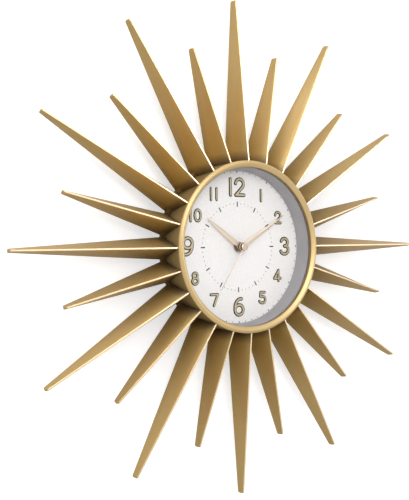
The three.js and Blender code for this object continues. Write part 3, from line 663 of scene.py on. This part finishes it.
def build_case():
    inner = DRUM_RADIUS - DRUM_WALL
    skirt_inner = SKIRT_RADIUS - SKIRT_WALL
    corners = [
        (BUSH_HOLE, PARTITION_REAR), (BUSH_HOLE, PARTITION_FRONT), (inner, PARTITION_FRONT),
        (inner, DRUM_FRONT), (DRUM_RADIUS, DRUM_FRONT), (DRUM_RADIUS, DRUM_REAR), (inner, DRUM_REAR),
        (inner, PARTITION_REAR), (SKIRT_RADIUS, PARTITION_REAR), (SKIRT_RADIUS, 0.0),
        (skirt_inner, 0.0), (skirt_inner, PARTITION_REAR),
    ]
    shell = turned("case_drum_shell", rounded_profile(corners, 0.35 * MM), 240)
    dress(shell, "root", "case_gold", "case_drum")

    def post(name, centre, radius, rear):
        foot = PARTITION_REAR + 0.2 * MM
        profile = rounded_profile(
            [(POST_BORE, rear), (radius, rear), (radius * 1.12, foot), (POST_BORE, foot)], 0.25 * MM)
        dress(turned(name, profile, 48, centre), "root", "case_gold")

    for k in range(3):
        spot = place(RETAINER_SCREW_RADIUS, math.radians(RETAINER_SCREW_ANGLE + 120 * k), 0)
        post(f"retainer_boss_{k + 1}", (spot.x, spot.z), 2.2 * MM, 13.4 * MM)
    for k in range(2):
        post(f"hanger_post_{k + 1}", centre_of(f"hanger_screw_{k + 1}"), 3.0 * MM, 5.7 * MM)

    rear, front = depths("ray_retainer_ring")
    edge = reach("ray_retainer_ring")
    ring = rounded_profile([
        (RETAINER_BORE, rear), (RETAINER_BORE, RETAINER_STEP), (FLANGE_INNER, RETAINER_STEP),
        (FLANGE_INNER, front), (FLANGE_OUTER, front), (FLANGE_OUTER, RETAINER_STEP),
        (edge, RETAINER_STEP), (edge, rear),
    ], 0.25 * MM)
    dress(turned("retainer_ring_turned", ring, 240), "root", "black_plastic", "ray_retainer_ring")


BEZEL_BORE, BEZEL_SEAT, BEZEL_EDGE = 79.5 * MM, 83.6 * MM, 86.2 * MM
BEZEL_REAR = 39.7 * MM
LENS_GAP = 0.3 * MM


def build_front():
    # The bezel's face in mm, from the wall at the lens out over the crest to the flange.
    face = [
        (79.5, 39.7), (79.53, 40.0), (79.68, 40.3), (79.95, 40.6), (80.6, 41.3), (81.3, 41.9), (82.0, 42.4),
        (82.7, 42.8), (83.2, 43.0), (83.6, 43.05), (84.0, 42.95), (84.4, 42.65), (85.0, 42.05),
        (85.7, 41.3), (86.05, 40.9), (86.2, 40.5),
    ]
    bezel = [(BEZEL_SEAT, LENS_FRONT + LENS_GAP), (BEZEL_BORE, LENS_FRONT + LENS_GAP)]
    bezel += [(radius * MM, depth * MM) for radius, depth in face]
    bezel += [(BEZEL_EDGE, BEZEL_REAR), (BEZEL_SEAT, BEZEL_REAR)]
    bezel = turned("bezel_ring_turned", bezel, 288)
    dress(bezel, "root", "bezel_gold", "bezel_ring")

    radius = reach("lens")
    lens = rounded_profile(
        [(0.0, LENS_REAR), (radius, LENS_REAR), (radius, LENS_FRONT), (0.0, LENS_FRONT)], 0.2 * MM)
    dress(turned("lens_pane", lens, 192), "root", "lens_clear", "lens")

    foot = DIAL_FRONT + 0.5 * MM
    foot_radius, top_radius, flange, wall = 77.3 * MM, 79.4 * MM, 83.4 * MM, 1.2 * MM
    surround = rounded_profile([
        (foot_radius, foot), (top_radius, SURROUND_TOP), (flange, SURROUND_TOP),
        (flange, SURROUND_TOP - wall), (top_radius + wall, SURROUND_TOP - wall),
        (foot_radius + wall, foot + 1.0 * MM),
        (flange, foot + 1.0 * MM), (flange, foot),
    ], 0.2 * MM)
    dress(turned("dial_surround_turned", surround, 240), "root", "surround_grey", "dial_surround")

    radius = reach("dial_plate")
    rear = depths("dial_plate")[0]
    dial = rounded_profile(
        [(BUSH_HOLE, rear), (radius, rear), (radius, DIAL_FRONT), (BUSH_HOLE, DIAL_FRONT)], 0.1 * MM)
    dress(turned("dial_face", dial, 240), "root", "dial_white", "dial_plate")


# ------------------------------------------------------------------ printed minute marks
PRINT_HEIGHT = 0.06 * MM
PRINT_SINK = 0.02 * MM
DOT_SIDES = 14
INNER_RING, INNER_DOT_RING, OUTER_RING = 43.4 * MM, 44.0 * MM, 76.2 * MM


def add_patch(bm, outline):
    """A thin printed patch on the dial with an outline of (x, z) points."""
    rear, front = [
        [bm.verts.new((x, -depth, z)) for x, z in outline]
        for depth in (DIAL_FRONT - PRINT_SINK, DIAL_FRONT + PRINT_HEIGHT)
    ]
    bm.faces.new(rear)
    bm.faces.new(front)
    for i in range(len(outline)):
        j = (i + 1) % len(outline)
        bm.faces.new((rear[i], rear[j], front[j], front[i]))


def add_bar(bm, radius, angle, length, width):
    """A printed bar lying along a radius."""
    outline = []
    for along, side in ((-1, -1), (1, -1), (1, 1), (-1, 1)):
        point = place(radius + along * length / 2, angle, 0)
        sideways = Vector((math.cos(angle), 0, -math.sin(angle)))
        point += sideways * side * width / 2
        outline.append((point.x, point.z))
    add_patch(bm, outline)


def add_dot(bm, radius, angle, size):
    centre = place(radius, angle, 0)
    turns = [2 * math.pi * k / DOT_SIDES for k in range(DOT_SIDES)]
    add_patch(bm, [(centre.x + size * math.sin(t), centre.z + size * math.cos(t)) for t in turns])


def build_minute_marks():
    hours, minutes = bmesh.new(), bmesh.new()
    for k in range(60):
        angle = math.radians(6 * k)
        if k % 5 == 0:
            add_bar(hours, INNER_RING, angle, 5.0 * MM, 1.2 * MM)
            add_dot(hours, OUTER_RING, angle, 0.75 * MM)
        else:
            add_dot(minutes, INNER_DOT_RING, angle, 0.5 * MM)
            add_bar(minutes, OUTER_RING, angle, 1.4 * MM, 0.7 * MM)
    dress(new_object("hour_print", hours), "root", "dial_white", material=PRINT_GREY)
    dress(new_object("minute_print", minutes), "root", "dial_white", material=PRINT_PALE)


# ------------------------------------------------------------------ numerals
# Centre lines in a box 1 high; widths are in the same unit. A closed path repeats its first point.
def digit_paths(digit):
    """(width, paths) of a digit's centre line."""
    if digit == "0":
        return 0.64, [ellipse(0.32, 0.5, 0.32, 0.5, 90, 450, 40)]
    if digit == "1":
        return 0.0, [[(0.0, 0.0), (0.0, 0.5), (0.0, 1.0)]]
    if digit == "2":
        bow = ellipse(0.31, 0.70, 0.31, 0.30, 175, -38, 22)
        return 0.66, [bow + [(0.30, 0.27), (0.02, 0.02)], [(0.02, 0.0), (0.34, 0.0), (0.66, 0.0)]]
    if digit == "3":
        top = ellipse(0.30, 0.755, 0.27, 0.245, 160, -90, 22)
        low = ellipse(0.30, 0.265, 0.32, 0.265, 84, -160, 22)
        return 0.62, [top, low]
    if digit == "4":
        return 0.76, [
            [(0.52, 1.0), (0.26, 0.62), (0.0, 0.24)],
            [(0.0, 0.23), (0.38, 0.23), (0.76, 0.23)],
            [(0.52, 0.99), (0.52, 0.5), (0.52, 0.0)],
        ]
    if digit == "5":
        bowl = ellipse(0.32, 0.31, 0.37, 0.31, 122, -155, 24)
        flag = [(0.62, 1.0), (0.36, 1.0), (0.13, 1.0)]
        return 0.69, [flag, [(0.13, 0.99), (0.11, 0.78), (0.08, 0.57)] + bowl[1:]]
    if digit in "69":
        bowl = ellipse(0.32, 0.31, 0.32, 0.31, 90, 450, 36)
        stem = ellipse(0.46, 0.42, 0.46, 0.58, 82, 184, 20)
        paths = [bowl, stem]
        if digit == "9":
            paths = [[(0.64 - x, 1.0 - y) for x, y in path] for path in paths]
        return 0.64, paths
    if digit == "7":
        return 0.78, [[(0.0, 1.0), (0.39, 1.0), (0.78, 1.0)], [(0.77, 0.98), (0.53, 0.5), (0.32, 0.0)]]
    top = ellipse(0.30, 0.755, 0.245, 0.245, -90, 270, 32)
    low = ellipse(0.30, 0.265, 0.30, 0.265, -90, 270, 36)
    return 0.60, [top, low]


CAP_STEPS = 8


def half_circle(centre, across, along, radius):
    """Points strictly inside a half circle that runs from across, over along, to the far side."""
    turns = [math.pi * k / CAP_STEPS for k in range(1, CAP_STEPS)]
    return [centre + (across * math.cos(t) + along * math.sin(t)) * radius for t in turns]


def stroke_outline(path, offset, closed):
    """Left and right edges of a stroke; an open stroke's ends are half circles."""
    count = len(path)
    edges = []
    for i, (x, y) in enumerate(path):
        if closed:
            before, after = path[i - 1], path[(i + 1) % count]
        else:
            before, after = path[max(i - 1, 0)], path[min(i + 1, count - 1)]
        along = (Vector(after) - Vector(before)).normalized()
        side = Vector((-along.y, along.x))
        edges.append((Vector((x, y)), along, side))
    if closed:
        return [[p + side * sign * offset for p, _, side in edges] for sign in (1, -1)]
    start, start_along, start_side = edges[0]
    end, end_along, end_side = edges[-1]
    ring = [p + side * offset for p, _, side in edges]
    ring += half_circle(end, end_side, end_along, offset)
    ring += [p - side * offset for p, _, side in reversed(edges)]
    ring += half_circle(start, -start_side, -start_along, offset)
    return [ring]


# (share of the half width, share of the height) from the sunk foot to the crown
NUMERAL_LEVELS = [(1.0, -0.25), (1.0, 0.35), (0.88, 0.60), (0.52, 0.95), (0.40, 0.99), (0.20, 1.0)]


def stroke_solid(path, half_width, height):
    """A raised stroke with steep sides and a softly crowned top, its foot sunk in the dial."""
    closed = (Vector(path[0]) - Vector(path[-1])).length < 1e-9
    path = path[:-1] if closed else path
    levels = []
    for share, rise in NUMERAL_LEVELS:
        outlines = stroke_outline(path, half_width * share, closed)
        depth = DIAL_FRONT + height * rise
        levels.append([[(p.x, -depth, p.y) for p in ring] for ring in outlines])
    outer = [level[0] for level in levels]
    if closed:
        inner = [level[1] for level in reversed(levels)]
        return new_object("stroke", rings_to_bmesh(outer + inner, closed_along=True))
    return new_object("stroke", rings_to_bmesh(outer, cap=lambda bm, row: fill_stroke(bm, row, len(path))))


def fill_stroke(bm, row, points):
    """Closes one level of an open stroke with quads across it and a fan at each round end."""
    count = len(row)
    left = row[:points]
    cap = (count - 2 * points) // 2
    end_cap = row[points:points + cap]
    right = list(reversed(row[points + cap:2 * points + cap]))
    start_cap = row[2 * points + cap:]
    for i in range(points - 1):
        bm.faces.new((left[i], left[i + 1], right[i + 1], right[i]))
    bm.faces.new([left[-1]] + end_cap + [right[-1]])
    bm.faces.new([right[0]] + start_cap + [left[0]])


NUMERAL_RADIUS = 60.8 * MM
# Numerals set a little off their hour line, (right, up) in mm.
NUMERAL_NUDGE = {
    2: (-0.1, -0.4), 4: (-2.0, 0.0), 8: (-0.7, 0.0), 9: (-0.7, 1.5), 10: (1.0, 1.4), 11: (1.1, 0.6),
}
TALL_NUMERAL = (19.9 * MM, 3.75 * MM)
SMALL_NUMERAL = (14.0 * MM, 2.95 * MM)


def numeral(text, hour, height, stroke):
    """The raised numeral of one hour, upright and centred near its hour line."""
    line = height - stroke
    nudge = NUMERAL_NUDGE.get(hour, (0.0, 0.0))
    centre = place(NUMERAL_RADIUS, math.radians(30 * hour), 0) + Vector((nudge[0] * MM, 0, nudge[1] * MM))
    spacing = stroke * (1.3 if text == "11" else 0.7)
    widths = [digit_paths(d)[0] * line + stroke for d in text]
    cursor = centre.x - (sum(widths) + spacing * (len(text) - 1)) / 2
    pieces = []
    for digit, width in zip(text, widths):
        for path in digit_paths(digit)[1]:
            placed = [(cursor + stroke / 2 + x * line, centre.z - line / 2 + y * line) for x, y in path]
            lift = 0.9 * MM + 0.015 * MM * len(pieces)
            pieces.append(stroke_solid(placed, stroke / 2, lift))
        cursor += width + spacing
    whole = pieces[0]
    for piece in pieces[1:]:
        boolean(whole, piece, "UNION")
    whole.name = f"numeral_{hour:02d}"
    resmooth(whole)
    dress(whole, "root", "hand_gold", material=NUMERAL_BRONZE)


def build_numerals():
    for hour in range(1, 13):
        numeral(str(hour), hour, *(TALL_NUMERAL if hour % 3 == 0 else SMALL_NUMERAL))


# ------------------------------------------------------------------ hands
def hand_angle(node):
    """Direction a hand points at rest, clockwise from twelve, from its farthest point."""
    tip = max((v.co for v in frame["nodes"][node].data.vertices), key=lambda c: math.hypot(c.x, c.z))
    return math.atan2(tip.x, tip.z)


def hand_blade(name, edge, rear, front, ridge_rise):
    """A tapered blade along +Z with a soft ridge down its middle; edge is (along, half width)."""
    rings = []
    edge_depth = mix(rear, front, 0.35)
    shoulder_depth = mix(edge_depth, front, 0.45)
    for along, half in edge:
        shoulder = half * 0.82
        rings.append([
            (-half, -rear, along), (-half, -edge_depth, along), (-shoulder, -shoulder_depth, along),
            (0.0, -(front + ridge_rise), along), (shoulder, -shoulder_depth, along),
            (half, -edge_depth, along), (half, -rear, along),
        ])
    return new_object(name, rings_to_bmesh(rings), math.radians(28))


def taper(points, steps=6):
    """More stations along a list of (along, half width) points."""
    fine = []
    for (a, ha), (b, hb) in zip(points, points[1:]):
        for k in range(steps):
            t = k / steps
            fine.append((mix(a, b, t), mix(ha, hb, t)))
    return fine + [points[-1]]


def turn_and_dress(obj, node, body, material=None):
    obj.matrix_world = Matrix.Rotation(hand_angle(node), 4, "Y")
    dress(obj, body, "hand_gold", material=material)


def hand_boss(body, radius, bore, rear, front):
    corners = [(bore, rear), (radius, rear), (radius, front), (bore, front)]
    profile = rounded_profile([(r * MM, depth * MM) for r, depth in corners], 0.3 * MM)
    turn_and_dress(turned(f"{body}_hand_boss", profile, 72), f"{body}_hand", body, HUB_GOLD)


def build_hands():
    hour_edge = [(2.0, 2.05), (5, 2.3), (11, 2.7), (40, 1.3), (48.8, 0.42), (50, 0.2)]
    minute_edge = [(2.0, 1.95), (5, 2.1), (12, 2.5), (48, 1.1), (61.5, 0.38), (63, 0.15)]
    seconds_edge = [(1.0, 0.50), (30, 0.38), (52.2, 0.26)]
    blades = {
        "hour": (hour_edge, 23.5, 24.2, 0.2), "minute": (minute_edge, 26.8, 27.4, 0.2),
        "seconds": (seconds_edge, 29.7, 30.1, 0.05),
    }
    for body, (edge, rear, front, rise) in blades.items():
        node = f"{body}_hand"
        scaled = taper([(a * MM, h * MM) for a, h in edge])
        blade = hand_blade(f"{node}_blade", scaled, rear * MM, front * MM, rise * MM)
        turn_and_dress(blade, node, body, HUB_GOLD if body == "seconds" else None)
        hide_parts(node)
    hand_boss("hour", 5.0, 2.8, 22.7, 24.6)
    hand_boss("minute", 4.8, 1.8, 25.4, 27.8)
    cap = [
        (0.0, 30.0), (0.8, 30.0), (0.8, 28.3), (3.6, 28.3), (3.85, 28.4), (3.9, 28.6),
        (3.9, 30.6), (3.8, 30.9), (3.5, 31.1), (2.9, 31.17), (0.0, 31.2),
    ]
    cap = turned("seconds_hand_cap", [(radius * MM, depth * MM) for radius, depth in cap], 72)
    turn_and_dress(cap, "seconds_hand", "seconds", HUB_GOLD)


def build_bush_fittings():
    rear, front = depths("bush_washer")
    edge = reach("bush_washer")
    corners = [(BUSH_HOLE, rear), (edge, rear), (edge, front), (BUSH_HOLE, front)]
    washer = rounded_profile(corners, 0.12 * MM)
    washer = turned("bush_washer_turned", washer, 72)
    dress(washer, "root", "brass", "bush_washer", material=HUB_GOLD)
    rear, front = depths("bush_nut")
    corner = reach("bush_nut")
    apothem = corner * math.cos(math.pi / 6)
    rings = []
    for depth, chamfer in ((rear, 0.3), (rear + 0.3 * MM, 0.0), (front - 0.3 * MM, 0.0), (front, 0.3)):
        ring = []
        for k in range(72):
            angle = 2 * math.pi * k / 72
            hexagon = apothem / math.cos((angle + math.pi / 6) % (math.pi / 3) - math.pi / 6)
            ring.append(place(min(hexagon, corner - chamfer * MM), angle, depth))
        rings.append(ring)
    bore = [[place(BUSH_HOLE, 2 * math.pi * k / 72, depth) for k in range(72)] for depth in (front, rear)]
    nut = new_object("bush_nut_hexagon", rings_to_bmesh(rings + bore, closed_along=True), math.radians(20))
    dress(nut, "root", "brass", "bush_nut", material=HUB_GOLD)


# ------------------------------------------------------------------ rear fittings
def build_screws():
    """Pan-head cross-recess screws over the CAD ones."""
    names = [f"retainer_screw_{k}" for k in (1, 2, 3)] + [f"hanger_screw_{k}" for k in (1, 2)]
    for number, node in enumerate(names):
        rear, front = depths(node)
        centre = centre_of(node)
        head, shank = 2.4 * MM, 0.85 * MM
        under_head = rear + 0.9 * MM
        crown = ellipse(0.9 * MM, rear + 0.55 * MM, 1.5 * MM, 0.55 * MM, -90, 0, 6)
        profile = [(0.0, rear)] + crown + [
            (head, under_head), (shank, under_head), (shank, front - 0.8 * MM), (0.0, front),
        ]
        screw = turned(node + "_turned", profile, 40, centre)
        for turn in (0.0, math.pi / 2):
            half, wide = 1.3 * MM, 0.24 * MM
            outline = [(-half, -wide), (half, -wide), (half, wide), (-half, wide)]
            bar = prism("recess", outline, rear - 1 * MM, rear + 0.5 * MM, centre, turn + 0.4 + number)
            boolean(screw, bar, "DIFFERENCE")
        resmooth(screw, math.radians(35))
        dress(screw, "root", "steel", node)


def build_battery():
    low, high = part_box("battery_cell")
    radius = (high.z - low.z) / 2
    shoulder = low.x + 1.0 * MM
    profile = [(0.0, low.x)] + [
        (2.5 * MM, low.x), (2.7 * MM, low.x + 0.15 * MM), (2.75 * MM, shoulder), (5.9 * MM, shoulder),
        (6.2 * MM, shoulder - 0.12 * MM), (6.7 * MM, shoulder), (radius - 0.1 * MM, shoulder + 0.4 * MM),
        (radius, shoulder + 0.9 * MM), (radius, high.x - 0.7 * MM), (radius - 0.2 * MM, high.x - 0.3 * MM),
        (6.4 * MM, high.x - 0.05 * MM), (5.6 * MM, high.x - 0.05 * MM), (5.3 * MM, high.x), (0.0, high.x),
    ]
    cell = turned("battery_cell_sleeve", profile, 96)
    # The lathe turns about Y with depth along -Y; lay that axis along +X through the cell.
    middle = Vector((0, (low.y + high.y) / 2, (low.z + high.z) / 2))
    cell.data.transform(Matrix.Translation(middle) @ Matrix.Rotation(math.pi / 2, 4, "Z"))
    dress(cell, "battery", "battery_wrap", "battery_cell")


KNOB_RADIUS, KNOB_RIBS, KNOB_RIB_DEPTH = 6.0 * MM, 30, 0.35 * MM
ARBOR_RADIUS, ARBOR_FRONT = 0.9 * MM, 13.4 * MM


def build_knob():
    centre = centre_of("setting_knob")
    rear = depths("setting_knob")[0]
    rings = []
    for rise, inset in ((0.0, 0.35), (0.35, 0.0), (1.9, 0.0), (2.2, 0.3)):
        depth = rear + rise * MM
        ring = []
        for k in range(KNOB_RIBS * 8):
            angle = 2 * math.pi * k / (KNOB_RIBS * 8)
            wave = 0.5 + 0.5 * math.cos(angle * KNOB_RIBS)
            point = place(KNOB_RADIUS - inset * MM - KNOB_RIB_DEPTH * wave, angle, depth)
            ring.append((point.x + centre[0], point.y, point.z + centre[1]))
        rings.append(ring)
    disc = new_object("setting_knob_disc", rings_to_bmesh(rings), math.radians(40))
    for side in (-1, 1):
        outline = [(-4.2, side * 0.8), (4.2, side * 0.8), (3.4, side * 3.0), (-3.4, side * 3.0)]
        outline = [(x * MM, z * MM) for x, z in outline]
        boolean(disc, prism("dimple", outline, rear - 1 * MM, rear + 1.0 * MM, centre), "DIFFERENCE")
    resmooth(disc, math.radians(35))
    dress(disc, "knob", "black_plastic")
    root = rear + 2.1 * MM
    arbor = [(0.0, root), (ARBOR_RADIUS, root), (ARBOR_RADIUS, ARBOR_FRONT), (0.0, ARBOR_FRONT)]
    stem = turned("setting_knob_arbor", arbor, 32, centre)
    dress(stem, "knob", "black_plastic", "setting_knob")


def build_carried_nodes():
    """CAD nodes whose shape is right stay, with rounded edges and their own material."""
    slots = {row["node"]: row["material_slot"] for row in frame["record"]["subparts"]}
    edge_radius = {
        "movement_front_case": 0.45, "movement_rear_cover": 0.2, "hanger_plate": 0.25,
        "contact_positive": 0.1, "contact_negative": 0.1, "circuit_board": 0.1, "coil": 0.4,
    }
    for name, obj in frame["nodes"].items():
        if obj.hide_render:
            continue
        obj.data.materials.clear()
        obj.data.materials.append(MATERIALS[slots[name]])
        obj.modifiers.new("weld", "WELD").merge_threshold = 1e-6
        if name in edge_radius:
            rounding = obj.modifiers.new("edge_radius", "BEVEL")
            rounding.width = edge_radius[name] * MM
            rounding.segments = 3
            rounding.limit_method = "ANGLE"
            rounding.angle_limit = math.radians(35)
            rounding.harden_normals = True


# ------------------------------------------------------------------ stage, light, camera
def stage_material(name, colour, roughness, lift=0.0):
    """Matt paint. A lift brightens it for the camera alone, so that shadows on it stay faint."""
    look = Look(name)
    cloud = look.noise(3.0, 4.0)
    look.colour(look.blend(cloud, shaded(colour, 0.985), colour))
    look.roughness(look.ramp(cloud, roughness - 0.04, roughness + 0.04))
    look.bump(look.noise(500.0, 2.0), 0.04, 0.0002)
    if lift:
        path = look.node("ShaderNodeLightPath")
        strength = look.node("ShaderNodeMath", operation="MULTIPLY")
        strength.inputs[1].default_value = lift
        look.link(path.outputs["Is Camera Ray"], strength.inputs[0])
        look.set(Emission_Color=(1.0, 1.0, 1.0, 1.0))
        look.link(strength.outputs["Value"], look.surface.inputs["Emission Strength"])
    return look.block


def plane(name, corners, material):
    bm = bmesh.new()
    bm.faces.new([bm.verts.new(corner) for corner in corners])
    obj = mesh_object(name, bm)
    obj.data.materials.append(material)
    return obj


FLOOR_Z = -1.3


def build_stage(camera):
    side, top = 2.2, 2.4
    wall = plane("wall", [
        (-side, 1 * MM, FLOOR_Z), (side, 1 * MM, FLOOR_Z), (side, 1 * MM, top), (-side, 1 * MM, top),
    ], stage_material("wall_paint", (0.62, 0.62, 0.625), 0.7, 0.58))
    plane("floor", [
        (-4, -4, FLOOR_Z), (4, -4, FLOOR_Z), (4, 4, FLOOR_Z), (-4, 4, FLOOR_Z),
    ], stage_material("floor_pale", (0.80, 0.79, 0.78), 0.55))
    # The wall hides from a camera behind the clock.
    driver = wall.driver_add("hide_render").driver
    driver.type = "SCRIPTED"
    variable = driver.variables.new()
    variable.name = "camera_y"
    variable.type = "TRANSFORMS"
    target = variable.targets[0]
    target.id = camera
    target.transform_type = "LOC_Y"
    target.transform_space = "WORLD_SPACE"
    driver.expression = "camera_y > 0.05"


def area_light(name, position, target, size, power, colour=(1.0, 1.0, 1.0)):
    light = bpy.data.lights.new(name, "AREA")
    light.shape = "DISK"
    light.size = size
    light.energy = power
    light.color = colour
    obj = add_object(name, light)
    obj.location = position
    obj.rotation_euler = (Vector(target) - Vector(position)).to_track_quat("-Z", "Y").to_euler()
    return obj


def build_world():
    """A soft studio: bright overhead, dim below."""
    look = Look("studio", bpy.data.worlds.new, "Background")
    bpy.context.scene.world = look.block
    towards = look.dot(look.position("Generated"), Vector((-0.25, -0.15, 0.95)).normalized())
    stops = [(0.15, (0.05, 0.049, 0.048)), (0.95, (1.0, 1.0, 1.0))]
    colour = look.bands(look.between(towards, -1.0, 1.0), stops, "LINEAR")
    look.link(colour, look.surface.inputs["Color"])
    look.set(Strength=1.2)


def build_lights():
    key = area_light("key", (-0.75, -1.55, 1.05), (0, 0, 0), 1.5, 24.0, (1.0, 0.99, 0.98))
    front = area_light("front", (-0.75, -1.9, 0.45), (0, 0, 0), 1.5, 24.0, (1.0, 0.985, 0.975))
    area_light("rear", (-1.2, 1.8, 1.2), (0, 0, 0), 1.2, 45.0)
    # The rays have two lights of their own: one from above and one that catches their ridges.
    # The dial's own key is lower and nearer the front, so that the bezel hardly shades it.
    # The bezel's comes from the right and lights its near side.
    rays, bezel, dial, others = [bpy.data.collections.new(n) for n in ("rays", "bezel", "dial", "others")]
    dial_pieces = ("dial_", "hour_", "minute_", "seconds_", "numeral_", "bush_", "lens_")
    for obj in [o for o in bpy.data.objects if o.type == "MESH"]:
        if obj.name.startswith("ray_"):
            rays.objects.link(obj)
        if obj.name.startswith("bezel_"):
            bezel.objects.link(obj)
        (dial if obj.name.startswith(dial_pieces) else others).objects.link(obj)
    overhead = area_light("overhead", (-0.5, -0.5, 1.0), (0, 0, 0.05), 0.9, 17.0, (1.0, 1.0, 1.12))
    glint = area_light("glint", (1.15, -1.65, 0.25), (0, 0, 0), 0.9, 33.0, (1.0, 0.99, 1.38))
    side = area_light("side", (1.9, -0.5, 0.1), (0, 0, 0), 1.0, 9.0, (1.0, 0.98, 0.95))
    linked = ((key, others), (front, dial), (side, bezel), (overhead, rays), (glint, rays))
    for light, pieces in linked:
        light.light_linking.receiver_collection = pieces


def build_camera():
    """An eye 0.98 m away, 35 degrees to the left of the dial and level with it."""
    azimuth, elevation, roll = math.radians(-34.92), math.radians(0.217), math.radians(-0.90)
    distance = 0.98387
    target = Vector((-0.0399, -0.01666, -0.00243))
    level = math.cos(elevation)
    back = Vector((math.sin(azimuth) * level, -math.cos(azimuth) * level, math.sin(elevation)))
    data = bpy.data.cameras.new("camera")
    data.lens = 71.24
    data.sensor_width = 36.0
    camera = add_object("camera", data)
    right = -back.cross(Vector((0, 0, 1))).normalized()
    up = back.cross(right)
    rolled_right = math.cos(roll) * right + math.sin(roll) * up
    rolled_up = -math.sin(roll) * right + math.cos(roll) * up
    rotation = Matrix((rolled_right, rolled_up, back)).transposed().to_4x4()
    camera.matrix_world = Matrix.Translation(target + back * distance) @ rotation
    data.clip_start = 0.05
    data.clip_end = 50
    bpy.context.scene.camera = camera
    return camera


# ------------------------------------------------------------------ build
build_rays()
build_case()
build_front()
build_minute_marks()
build_numerals()
build_hands()
build_bush_fittings()
build_screws()
build_battery()
build_knob()
build_carried_nodes()
build_world()
build_stage(build_camera())
build_lights()

bpy.context.scene.view_settings.view_transform = "Standard"
